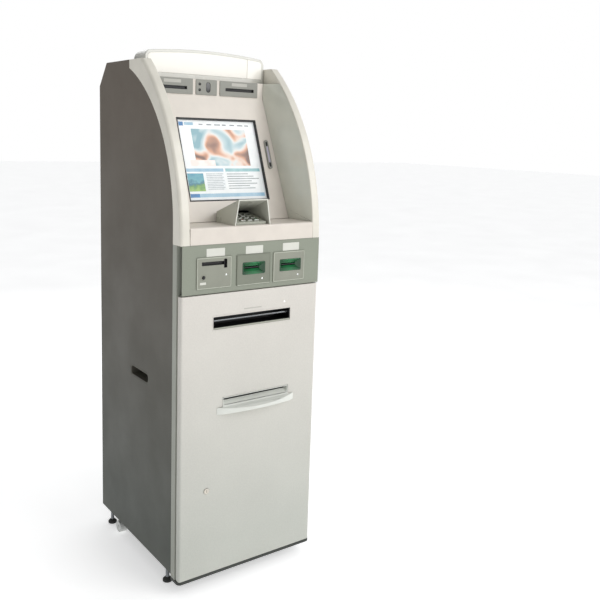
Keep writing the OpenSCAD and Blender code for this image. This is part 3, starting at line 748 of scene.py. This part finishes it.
def screen_picture():
    """Abstract drifts of warm and cool colour shown as the page's picture."""
    def drift(tree, where):
        noise = add(tree, "ShaderNodeTexNoise", {
            "Vector": where, "Scale": per_metre(62), "Detail": 1.2, "Distortion": 0.6}).outputs["Fac"]
        return add(tree, "ShaderNodeMapRange", {
            "Value": noise, "From Min": 0.32, "From Max": 0.68}).outputs[0]

    stops = [(0.0, "#7fa9b4"), (0.24, "#b4cbd0"), (0.42, "#dde1e0"), (0.56, "#e9d2c3"),
             (0.74, "#d39c7d"), (0.92, "#8a6656"), (1.0, "#6f5145")]
    return page_picture("display_drifts", drift, stops, 0.08)


def screen_landscape():
    """Sky, hills and grass as three soft bands of colour."""
    bottom = on_console(0, 95, 0).translation.z
    top = on_console(0, 160, 0).translation.z

    def rise(tree, where):
        height = add(tree, "ShaderNodeSeparateXYZ", {"Vector": where}).outputs["Z"]
        noise = add(tree, "ShaderNodeTexNoise", {
            "Vector": where, "Scale": per_metre(22), "Detail": 3.0, "Roughness": 0.55}).outputs["Fac"]
        wave = add(tree, "ShaderNodeMapRange", {
            "Value": noise, "From Min": QUIET, "From Max": LOUD, "To Min": -12 * MM,
            "To Max": 12 * MM}).outputs[0]
        wavy = add(tree, "ShaderNodeMath", {0: height, 1: wave}, operation="ADD").outputs[0]
        return add(tree, "ShaderNodeMapRange", {
            "Value": wavy, "From Min": bottom, "From Max": top}).outputs[0]

    stops = [(0.0, "#8fb35a"), (0.26, "#5d8f4c"), (0.42, "#2f6f86"), (0.6, "#5fa3ad"), (1.0, "#4a90a8")]
    return page_picture("display_landscape", rise, stops, 0.12)


# ---- pieces -----------------------------------------------------------------------------------


class TERMINAL_OT_cabinet(bpy.types.Operator):
    """Rounds and paints the sheet-steel cabinet"""

    bl_idname = "terminal.cabinet"
    bl_label = "Cabinet"

    def execute(self, context):
        edge = sizes().sheet_edge
        skin("base_pan", "cabinet", plinth_paint(), edge)
        for side in ("left", "right"):
            skin("side_panel_" + side, "cabinet", side_paint(), edge)
        skin("top_cover", "cabinet", side_paint(), edge)
        skin("front_posts", "cabinet", frame_paint(), edge)
        skin("handle_cups", "cabinet", cup_abs(), edge)
        return {"FINISHED"}


class TERMINAL_OT_cheeks(bpy.types.Operator):
    """Rounds the hood's two cheeks along their curved front edges"""

    bl_idname = "terminal.cheeks"
    bl_label = "Hood cheeks"

    def execute(self, context):
        outer = CAD_HIGH.x

        def on_front(edge, x_near):
            for v in edge.verts:
                depth = (v.co.y - FACE_Y) / MM
                height = (v.co.z - BASE_Z) / MM
                if abs(math.hypot(depth - HOOD_R, height - HOOD_CENTRE_Z) - HOOD_R) > 0.6:
                    return False
                if abs(abs(v.co.x) - x_near) > 0.2 * MM:
                    return False
            return True

        inner = outer - CHEEK_WIDTH * MM
        rules = [
            (sizes().cheek_edge, 7, lambda e: on_front(e, outer)),
            (sizes().cheek_inner_edge, 4, lambda e: on_front(e, inner)),
        ]
        for side in ("left", "right"):
            skin("cheek_" + side, "cabinet", hood_abs(), 0.6 * MM, 2, rules)
        return {"FINISHED"}


class TERMINAL_OT_console(bpy.types.Operator):
    """Finishes the shelf, console, linings and reader band"""

    bl_idname = "terminal.console"
    bl_label = "Console and band"

    def execute(self, context):
        edge = sizes().moulded_edge
        skin("shelf_chin", "cabinet", console_abs(), edge)
        skin("console_panel", "cabinet", console_abs(), 0.8 * MM)
        skin("inner_walls", "cabinet", lining_abs(), 0.6 * MM)
        skin("band_panel", "cabinet", band_paint(), 0.6 * MM)
        piece("band_end_cap", "cabinet", [
            (placed(plate(144, 15, 1.0, 1.0, 0.2), along_x(247.9, 11.2, 959.2)), band_paint())])
        return {"FINISHED"}


class TERMINAL_OT_header(bpy.types.Operator):
    """Finishes the illuminated header"""

    bl_idname = "terminal.header"
    bl_label = "Header"

    def execute(self, context):
        low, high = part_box("header_housing")
        centre = (low + high) / 2

        def outline(edge):
            """Edges round the outside of the front face, but not round its opening."""
            middle = (edge.verts[0].co + edge.verts[1].co) / 2
            outward = sum((face.normal for face in edge.link_faces), Vector())
            away = outward.dot(middle - Vector((0, middle.y, centre.z)))
            return middle.y < low.y + 0.2 * MM and away > 0

        rules = [(sizes().header_edge, 5, outline)]
        skin("header_housing", "cabinet", header_abs(), 0.7 * MM, 2, rules)
        skin("header_sign", "cabinet", opal_acrylic(), 0.6 * MM)
        dress("header_lamp", lamp_white())
        return {"FINISHED"}


class TERMINAL_OT_display(bpy.types.Operator):
    """Builds the display's frame and the page that it shows"""

    bl_idname = "terminal.display"
    bl_label = "Display"

    def execute(self, context):
        skin("monitor", "cabinet", black_abs(), 0.6 * MM)
        page = page_tone("page", "#e4e8e9", "#eef0f0", 80)
        dress("touch_glass", page)
        left, right = -141.8, 141.8
        bottom, top = 70.2, 332.8
        lay = -9.38

        def tile(u0, u1, v0, v1, level=1):
            """A thin patch of the page, placed by shares of its width and height from the top left."""
            width = (u1 - u0) * (right - left)
            height = (v1 - v0) * (top - bottom)
            across = left + (u0 + u1) / 2 * (right - left)
            up = top - (v0 + v1) / 2 * (top - bottom)
            return placed(plate(width, height, 0.06 * level), on_console(across, up, lay))

        blue = page_tone("blue", "#2f7fb8", "#2a70a8", 30)
        pale = page_tone("pale_blue", "#8db4cb", "#9fc0d2", 40)
        teal = page_tone("teal", "#86b4b9", "#9cc4c8", 40)
        grey = page_tone("grey", "#7f878b", "#969ca0", 12)
        faint_text = page_tone("text_grey", "#a9b0b3", "#bcc2c4", 5)
        faint = page_tone("faint_grey", "#dfe4e6", "#e9edee", 20)
        rose = page_tone("faint_rose", "#f2dfd8", "#f6ebe6", 30)
        parts = [
            (tile(0.02, 0.075, 0.025, 0.075), blue),
            (tile(0.09, 0.2, 0.03, 0.065), pale),
            (tile(0.16, 0.86, 0.11, 0.57), screen_picture()),
            (tile(0.09, 0.4, 0.5, 0.575, 2), rose),
            (tile(0.02, 0.485, 0.605, 0.645), pale),
            (tile(0.51, 0.97, 0.605, 0.645), teal),
            (tile(0.02, 0.22, 0.665, 0.885), screen_landscape()),
            (tile(0.02, 0.98, 0.915, 0.96), pale),
            (tile(0.02, 0.135, 0.915, 0.96, 2), blue),
            (tile(0.245, 0.485, 0.66, 0.87), faint),
        ]
        for i in range(7):
            start = 0.27 + i * 0.1
            parts.append((tile(start, start + 0.05 + 0.012 * (i % 3), 0.045, 0.06), grey))
        for row in range(10):
            v = 0.668 + row * 0.021
            parts.append((tile(0.255, 0.475 - 0.02 * (row % 2), v, v + 0.01, 2), faint_text))
        for row in range(7):
            v = 0.67 + row * 0.03
            parts.append((tile(0.52, 0.8 + 0.035 * ((row * 2) % 5), v, v + 0.01), grey))
        piece("display_page_tiles", "cabinet", parts)
        return {"FINISHED"}


class TERMINAL_OT_strip(bpy.types.Operator):
    """Builds the small readers and the sensor under the header"""

    bl_idname = "terminal.strip"
    bl_label = "Upper readers"

    def execute(self, context):
        for name in ("upper_reader_left", "upper_sensor", "upper_reader_right"):
            skin(name, "cabinet", strip_abs(), 0.5 * MM)
        face = (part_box("upper_sensor")[0].y - FACE_Y) / MM
        black, label = black_abs(), grey_vinyl()
        for side, x, z, width, label_x in (("left", -137, 1489, 84, -146), ("right", 99, 1491, 108, 97)):
            # The black sockets line the pockets; their black is partly the plastic and partly painted shade
            # for the dark deep in the slots.
            parts = [
                (placed(socket(width - 0.4, 9.6, 7.4, 0.8), facing(x, face + 7.4, z)), black),
                (placed(plate(width - 12, 1.2, 2.2, 0, 0.3), facing(x, face + 7, z - 2.6)), black),
            ]
            piece("upper_slot_" + side, "cabinet", parts)
            piece("upper_label_" + side, "cabinet", [
                (placed(plate(59, 10, 0.6, 1.5, 0.2), facing(label_x, face + 0.05, 1508)), label)])
        lenses = [
            (placed(dome(4.3, 2.4, 3), facing(-50, face + 3.2, STRIP_Z + dz)), dark_acrylic())
            for dz in (-9, 9)]
        window = placed(plate(15.6, 31.6, 5, 7.6, 1.2, 8), facing(-19, face + 6, STRIP_Z))
        lenses.append((window, dark_acrylic()))
        piece("sensor_lenses", "cabinet", lenses)
        return {"FINISHED"}


class TERMINAL_OT_side_reader(bpy.types.Operator):
    """Builds the narrow reader on the console's right margin"""

    bl_idname = "terminal.side_reader"
    bl_label = "Side reader"

    def execute(self, context):
        skin("side_reader", "cabinet", strip_abs(), 0.8 * MM, 3)
        film, black = lavender_film(), black_abs()
        parts = [(placed(plate(6.6, 54, 2.4, 0, 0.5), on_console(170, 218, 2.1)), film)]
        # The black pads at the window's ends are painted shade, where the ends of the recess lie in shadow.
        for up in (182.5, 253.5):
            parts.append((placed(plate(6.6, 14, 2.8, 3.0, 0.6), on_console(170, up, 2.1)), black))
        piece("side_reader_window", "cabinet", parts)
        return {"FINISHED"}


class TERMINAL_OT_keypad(bpy.types.Operator):
    """Builds the keypad's guard, its case and the printed keys"""

    bl_idname = "terminal.keypad"
    bl_label = "Keypad"

    def execute(self, context):
        skin("keypad_hood", "cabinet", guard_abs(), 0.9 * MM, 3)
        piece("keypad_hood_trim", "cabinet", [(self.trim(), trim_abs())])
        skin("keypad_case", "cabinet", case_abs(), 0.5 * MM)
        legends = ["1", "2", "3", "4", "5", "6", "7", "8", "9", "clear", "0", "enter"]
        for i, legend in enumerate(legends):
            name = "key_" + legend
            skin(name, name, key_steel(), 1.1 * MM, 3)
            x = (i % 3 - 1) * COLUMN_PITCH
            up = FIRST_ROW + (3 - i // 3) * ROW_PITCH
            place = on_pad(x, up, KEY_TOP)
            piece("legend_" + legend, name, self.legend(legend, place))
        return {"FINISHED"}

    def trim(self):
        """A light edge trim that follows the guard's front opening: a painted highlight on that edge."""
        outer = [(-70, 1083.4), (-58, 1160), (45, 1160), (57, 1083.4)]
        inner = [(-66.6, 1083.4), (-55.2, 1156.8), (42.2, 1156.8), (53.6, 1083.4)]
        bm = bmesh.new()
        rows = [[bm.verts.new(at(x, 1.9, z)) for x, z in row] for row in (outer, inner)]
        faces = [bm.faces.new((rows[0][i], rows[0][i + 1], rows[1][i + 1], rows[1][i])) for i in range(3)]
        grown = bmesh.ops.extrude_face_region(bm, geom=faces)["geom"]
        moved = [v for v in grown if isinstance(v, bmesh.types.BMVert)]
        bmesh.ops.translate(bm, vec=(0, -1.3 * MM, 0), verts=moved)
        bmesh.ops.recalc_face_normals(bm, faces=bm.faces)
        bevel(bm, sharp_edges(bm), 0.4 * MM, 2)
        return bm

    def legend(self, legend, place):
        """The figure or sign on one key."""
        if legend == "clear":
            bars = []
            for turn in (45, -45):
                bar = placed(plate(8, 1.6, 0.12, 0.5), Matrix.Rotation(math.radians(turn), 4, "Z"))
                bars.append((placed(bar, place), red_ink()))
            return bars
        if legend == "enter":
            ring = lathe([(2.4, 0), (4.0, 0), (4.0, 0.12), (2.4, 0.12), (2.4, 0)], 32)
            return [(placed(ring, place), green_ink())]
        text = bpy.data.curves.new("figure", "FONT")
        text.body = legend
        text.size = sizes().digit
        text.extrude = 0.06 * MM
        text.align_x = "CENTER"
        text.align_y = "CENTER"
        holder = bpy.data.objects.new("figure", text)
        mesh = bpy.data.meshes.new_from_object(holder)
        figure = bmesh.new()
        figure.from_mesh(mesh)
        bmesh.ops.translate(figure, vec=(0, 0, 0.06 * MM), verts=figure.verts)
        bpy.data.objects.remove(holder)
        bpy.data.meshes.remove(mesh)
        bpy.data.curves.remove(text)
        return [(placed(figure, place), ink())]


class TERMINAL_OT_readers(bpy.types.Operator):
    """Builds the three readers in the band, with labels, lamps, slots and mouths"""

    bl_idname = "terminal.readers"
    bl_label = "Band readers"

    def execute(self, context):
        skin("reader_left", "cabinet", reader_abs(), 0.6 * MM, 3)
        skin("reader_centre", "cabinet", dark_reader_abs(), 0.6 * MM, 3)
        skin("reader_right", "cabinet", reader_abs(), 0.6 * MM, 3)
        light, black, label = rim_abs(), black_abs(), label_vinyl()
        face = 0.4
        # The light rims of the outer readers and the light sill under the centre reader are painted
        # highlights along the bezels' steps.
        for name, x, width in (("left", -138, 118), ("centre", 0, 122), ("right", 131, 120)):
            finish = light if name != "centre" else dark_reader_abs()
            piece("reader_rim_" + name, "cabinet", [
                (placed(rim(width - 3, 91, 2.0, 0.7, 2.5, 0.3), facing(x, face + 0.05, READER_Z)), finish)])
        piece("reader_sill_centre", "cabinet", [
            (placed(plate(116, 2.0, 0.9, 0.9, 0.3), facing(0, face + 0.05, 903)), light)])
        for name, x, z in (("left", -133, 1008), ("centre", 2, 1008), ("right", 138, 1009)):
            piece("band_label_" + name, "cabinet", [
                (placed(plate(62, 24, 0.7, 1.5, 0.25), facing(x, 3.05, z)), label)])
        piece("button_label", "cabinet", [
            (placed(plate(20, 7, 0.5, 1.0, 0.2), facing(-176, face + 0.05, 918.5)), label)])
        # The black linings of the card slot and its notch are partly black plastic and partly painted shade
        # for the dark deep inside.
        piece("card_slot_lining", "cabinet", [
            (placed(socket(75.6, 10.6, 7.2, 0.8), facing(-142, 8.2, 976)), black),
            (placed(socket(10.6, 26.6, 7, 0.8, 2.8), facing(-100, 8.6, 974)), black)])
        piece("button_ring", "cabinet", [
            (placed(lathe([(5.4, -1), (8.2, -1), (8.2, 0.3), (7.6, 0.9), (6.0, 0.9), (5.4, 0.4), (5.4, -1)]),
                    facing(BUTTON_X, face, BUTTON_Z)), reader_abs())])
        for name, x, z in (("left", -97, 940), ("centre", 31, 918), ("right", 166, 919)):
            piece("lamp_" + name, "cabinet", [
                (placed(dome(2.8, 1.5, 1.0), facing(x, 1.2, z)), lamp_white())])
        # The dark strip in each mouth is painted shade, the dark deep in the card slot.
        for name, x in zip(("centre", "right"), MOUTH_X):
            piece("card_mouth_" + name, "cabinet", [
                (placed(self.mouth(), facing(x, 13.4, 952)), green_acrylic()),
                (placed(plate(56, 2.4, 0.4, 1.1), facing(x, 12.9, 952)), dark_acrylic())])
        return {"FINISHED"}

    def mouth(self):
        """A funnel with sloping walls round a card slot, in a rounded frame."""
        bm = plate(81.2, 37.2, 13.2, 3.8)
        front = front_face(bm)
        bevel(bm, list(front.edges), 1.0 * MM, 3)
        front = front_face(bm)
        bmesh.ops.inset_region(bm, faces=[front], thickness=2.6 * MM, depth=0.0, use_even_offset=True)
        bmesh.ops.inset_region(bm, faces=[front], thickness=9.5 * MM, depth=-9.0 * MM, use_even_offset=True)
        bmesh.ops.inset_region(bm, faces=[front], thickness=2.0 * MM, depth=-3.4 * MM, use_even_offset=True)
        return bm


class TERMINAL_OT_button(bpy.types.Operator):
    """Turns the push button's domed cap and stem"""

    bl_idname = "terminal.button"
    bl_label = "Push button"

    def execute(self, context):
        profile = [(0, 3.0), (2.6, 2.8), (4.2, 2.2), (4.85, 1.2), (4.95, 0), (4.95, -3.6), (2.3, -3.6),
                   (2.3, -16), (0, -16)]
        cap = placed(lathe(profile), facing(BUTTON_X, 0, BUTTON_Z))
        piece("push_button_cap", "push_button", [(cap, black_abs())],
              replaces=["push_button"])
        return {"FINISHED"}


class TERMINAL_OT_door(bpy.types.Operator):
    """Finishes the front door, its document slot, output tray and lock"""

    bl_idname = "terminal.door"
    bl_label = "Front door"

    def execute(self, context):
        skin("front_door", "front_door", door_paint(), 0.8 * MM)
        skin("document_slot", "front_door", black_abs(), 0.6 * MM)
        skin("output_tray", "front_door", tray_abs(), 1.8 * MM, 4)
        skin("door_lock", "door_lock", nickel(), 0.5 * MM)
        bar = lathe([(0, 0), (3.0, 0), (3.4, 0.5), (3.4, 273.5), (3.0, 274), (0, 274)], 24)
        piece("guide_bar", "front_door", [(placed(bar, along_x(-137, 16, 799)), case_steel())])
        # The sill is a real lip; its grey is painted shade, the thin shadow line along the slot's lower
        # edge.
        piece("slot_sill", "front_door", [
            (placed(plate(279, 5, 3.2, 1.2, 1.0), facing(0, 3, 778)), case_abs())])
        piece("slot_frame", "front_door", [
            (placed(rim(286, 46, 3.4, 1.2, 4, 0.5), facing(0, 0.2, 795)), door_paint())])
        piece("door_lamp", "front_door", [
            (placed(dome(3.2, 1.4, 1.5), facing(117, 0, 837)), lamp_white())])
        piece("slot_label", "front_door", [
            (placed(plate(64, 3.4, 0.3, 1.0), facing(-1, 0.05, 829)), grey_vinyl())])
        # The black plate in the tray's throat is painted shade, the dark inside the paper slot.
        piece("tray_throat", "front_door", [
            (placed(plate(231, 6.6, 2), facing(19, 20, 550.5)), black_abs())])
        return {"FINISHED"}


class TERMINAL_OT_rear(bpy.types.Operator):
    """Finishes the rear door, its louvres and the power fittings"""

    bl_idname = "terminal.rear"
    bl_label = "Rear"

    def execute(self, context):
        skin("rear_door", "rear_door", side_paint(), 0.6 * MM)
        skin("rear_lock", "rear_lock", nickel(), 0.5 * MM)
        skin("power_inlet", "cabinet", black_abs(), 0.5 * MM)
        skin("rocker_switch", "rocker_switch", black_abs(), 0.5 * MM)
        skin("fasteners", "cabinet", zinc(), 0.4 * MM)
        blades = []
        for low in (240, 1200):
            for i in range(6):
                tilt = Matrix.Rotation(math.radians(-50), 4, "X")
                blade = placed(plate(214, 9, 0.9, 0, 0.2), tilt)
                blades.append((placed(blade, behind(0, 578.6, low + i * 18 + 1)), side_paint()))
        piece("louvre_blades", "rear_door", blades)
        prongs = []
        for dx, dz in ((-5, -2), (5, -2), (0, 3)):
            prongs.append((placed(plate(1.8, 5, 9, 0.3), behind(-184 + dx, 568, 36 + dz)), nickel()))
        piece("inlet_prongs", "cabinet", prongs)
        piece("rating_plate", "cabinet", [
            (placed(plate(60, 30, 0.5, 2, 0.2), behind(60, 579, 36)), zinc())])
        return {"FINISHED"}


class TERMINAL_OT_interior(bpy.types.Operator):
    """Finishes the equipment, shelves and hinge pins inside the cabinet"""

    bl_idname = "terminal.interior"
    bl_label = "Interior"

    def execute(self, context):
        edge = 0.6 * MM
        skin("equipment_shelves", "cabinet", zinc(), 0.5 * MM)
        skin("computer", "cabinet", case_steel(), edge)
        skin("power_supply", "cabinet", zinc(), edge)
        skin("printer", "cabinet", case_abs(), edge)
        skin("card_dispenser", "cabinet", rim_abs(), edge)
        skin("hinge_pins", "cabinet", zinc(), 0.4 * MM)
        skin("paper_roll", "paper_roll", roll_paper(), 0.6 * MM)
        for i, x in enumerate((-110, 60)):
            rings = [(placed(lathe([(r, 0), (r + 1.2, 0), (r + 1.2, 1.2), (r, 1.2), (r, 0)], 32),
                             facing(x, 145.9, 60)), zinc()) for r in (8, 15, 22, 29)]
            piece("fan_guard_%d" % (i + 1), "cabinet", rings)
        return {"FINISHED"}


class TERMINAL_OT_feet(bpy.types.Operator):
    """Finishes the levelling feet and transport wheels"""

    bl_idname = "terminal.feet"
    bl_label = "Feet and wheels"

    def execute(self, context):
        for name in ("foot_front_left", "foot_front_right", "foot_rear_left", "foot_rear_right"):
            low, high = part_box(name)
            centre = (low + high) / 2
            base = Matrix.Translation((centre.x, centre.y, low.z))
            pad = lathe([(0, 0), (14, 0), (15, 0.8), (15, 6.6), (14, 8), (9.5, 12.5), (8, 14), (0, 14)])
            rungs = [(0, 13)]
            top = (high.z - low.z) / MM
            for i in range(int((top - 14) / 2)):
                rungs += [(5.3, 14 + i * 2), (6.0, 15 + i * 2)]
            stem = lathe([*rungs, (5.3, top), (0, top)], 24)
            piece(name + "_turned", name,
                  [(placed(pad, base), foot_rubber()), (placed(stem, base), zinc())], replaces=[name])
        skin("transport_wheels", "transport_wheels", wheel_nylon(), 1.5 * MM, 3)
        return {"FINISHED"}


class TERMINAL_OT_stage(bpy.types.Operator):
    """Sets up the pale floor, the soft lights and the camera"""

    bl_idname = "terminal.stage"
    bl_label = "Studio"

    def execute(self, context):
        self.floor()
        self.world()
        self.light("key", (1.6, -3.2, 2.9), (0.0, 0.0, 0.9), 2.6, 66)
        self.light("fill", (-3.4, -1.4, 2.2), (0.0, 0.0, 0.8), 2.4, 5)
        self.light("back", (0.6, 3.2, 2.6), (0.0, 0.0, 0.9), 2.6, 26)
        self.camera()
        return {"FINISHED"}

    def floor(self):
        """A wide pale floor under the feet."""
        bm = bmesh.new()
        bmesh.ops.create_grid(bm, x_segments=1, y_segments=1, size=30.0)
        mesh = bpy.data.meshes.new("floor")
        bm.to_mesh(mesh)
        bm.free()

        def build(tree, where):
            tone = patchy(tree, where, 600, rgba("#f4f4f4"), rgba("#f9f9f9"))[1]
            return add(tree, "ShaderNodeBsdfPrincipled", {
                "Base Color": tone, "Roughness": 0.9, "Emission Color": tone, "Emission Strength": 0.5})

        mesh.materials.append(finish_named("matt_vinyl_floor", build))
        made = bpy.data.objects.new("floor", mesh)
        bpy.context.scene.collection.objects.link(made)

    def world(self):
        """White surroundings, dimmer on the customer's left; the camera sees them plain white."""
        world = bpy.data.worlds.new("studio")
        bpy.context.scene.world = world
        world.use_nodes = True
        tree = world.node_tree
        tree.nodes.clear()
        seen = add(tree, "ShaderNodeLightPath").outputs["Is Camera Ray"]
        direction = add(tree, "ShaderNodeTexCoord").outputs["Generated"]
        across = add(tree, "ShaderNodeSeparateXYZ", {"Vector": direction}).outputs["X"]
        strength = add(tree, "ShaderNodeMapRange", {
            "Value": across, "From Min": -0.8, "From Max": 0.8, "To Min": 0.3, "To Max": 0.82}).outputs[0]
        soft = add(tree, "ShaderNodeBackground", {"Color": rgba("#f6f7f8"), "Strength": strength})
        white = add(tree, "ShaderNodeBackground", {"Color": rgba("#ffffff"), "Strength": 1.0})
        both = add(tree, "ShaderNodeMixShader", {0: seen, 1: soft.outputs[0], 2: white.outputs[0]})
        add(tree, "ShaderNodeOutputWorld", {"Surface": both.outputs[0]})

    def light(self, name, place, target, size, power):
        """A square soft light aimed at a point."""
        data = bpy.data.lights.new(name, "AREA")
        data.size = size
        data.energy = power
        made = bpy.data.objects.new(name, data)
        made.location = place
        aim = Vector(target) - Vector(place)
        made.rotation_euler = aim.to_track_quat("-Z", "Y").to_euler()
        bpy.context.scene.collection.objects.link(made)

    def camera(self):
        """A standing person's view from the front left."""
        azimuth, elevation, roll = [math.radians(turn) for turn in (-35.56, 8.75, 1.66)]
        back = Vector((math.sin(azimuth) * math.cos(elevation), -math.cos(azimuth) * math.cos(elevation),
                       math.sin(elevation)))
        right = (-back).cross(Vector((0, 0, 1))).normalized()
        up = back.cross(right)
        tilted_right = right * math.cos(roll) + up * math.sin(roll)
        tilted_up = up * math.cos(roll) - right * math.sin(roll)
        turn = Matrix((tilted_right, tilted_up, back)).transposed().to_4x4()
        data = bpy.data.cameras.new("camera")
        data.sensor_width = 36
        data.lens = 45.76
        data.shift_x = 0.03
        data.shift_y = -0.08
        made = bpy.data.objects.new("camera", data)
        made.matrix_world = Matrix.Translation((-1.2546, -2.1735, 1.4030)) @ turn
        bpy.context.scene.collection.objects.link(made)
        bpy.context.scene.camera = made
        bpy.context.scene.view_settings.view_transform = "Standard"


STEPS = [
    TERMINAL_OT_cabinet, TERMINAL_OT_cheeks, TERMINAL_OT_console, TERMINAL_OT_header, TERMINAL_OT_display,
    TERMINAL_OT_strip, TERMINAL_OT_side_reader, TERMINAL_OT_keypad, TERMINAL_OT_readers, TERMINAL_OT_button,
    TERMINAL_OT_door, TERMINAL_OT_rear, TERMINAL_OT_interior, TERMINAL_OT_feet, TERMINAL_OT_stage]


class TERMINAL_PT_panel(bpy.types.Panel):
    """Lists the steps that build the terminal"""

    bl_idname = "TERMINAL_PT_panel"
    bl_label = "Banking Terminal"
    bl_space_type = "VIEW_3D"
    bl_region_type = "UI"
    bl_category = "Terminal"

    def draw(self, context):
        for group in (context.scene.terminal_sizes, context.scene.terminal_colours):
            box = self.layout.box()
            for name in group.__annotations__:
                box.prop(group, name)
        for step in STEPS:
            self.layout.operator(step.bl_idname)


CLASSES = [TerminalSizes, TerminalColours, *STEPS, TERMINAL_PT_panel]


def register():
    """Makes the classes and the scene's settings known."""
    for each in CLASSES:
        bpy.utils.register_class(each)
    bpy.types.Scene.terminal_sizes = bpy.props.PointerProperty(type=TerminalSizes)
    bpy.types.Scene.terminal_colours = bpy.props.PointerProperty(type=TerminalColours)


def unregister():
    """Takes the classes and settings away again."""
    del bpy.types.Scene.terminal_colours
    del bpy.types.Scene.terminal_sizes
    for each in reversed(CLASSES):
        bpy.utils.unregister_class(each)


def main():
    """Builds the whole terminal."""
    register()
    for step in STEPS:
        group, name = step.bl_idname.split(".")
        getattr(getattr(bpy.ops, group), name)()


if __name__ == "__main__":
    main()
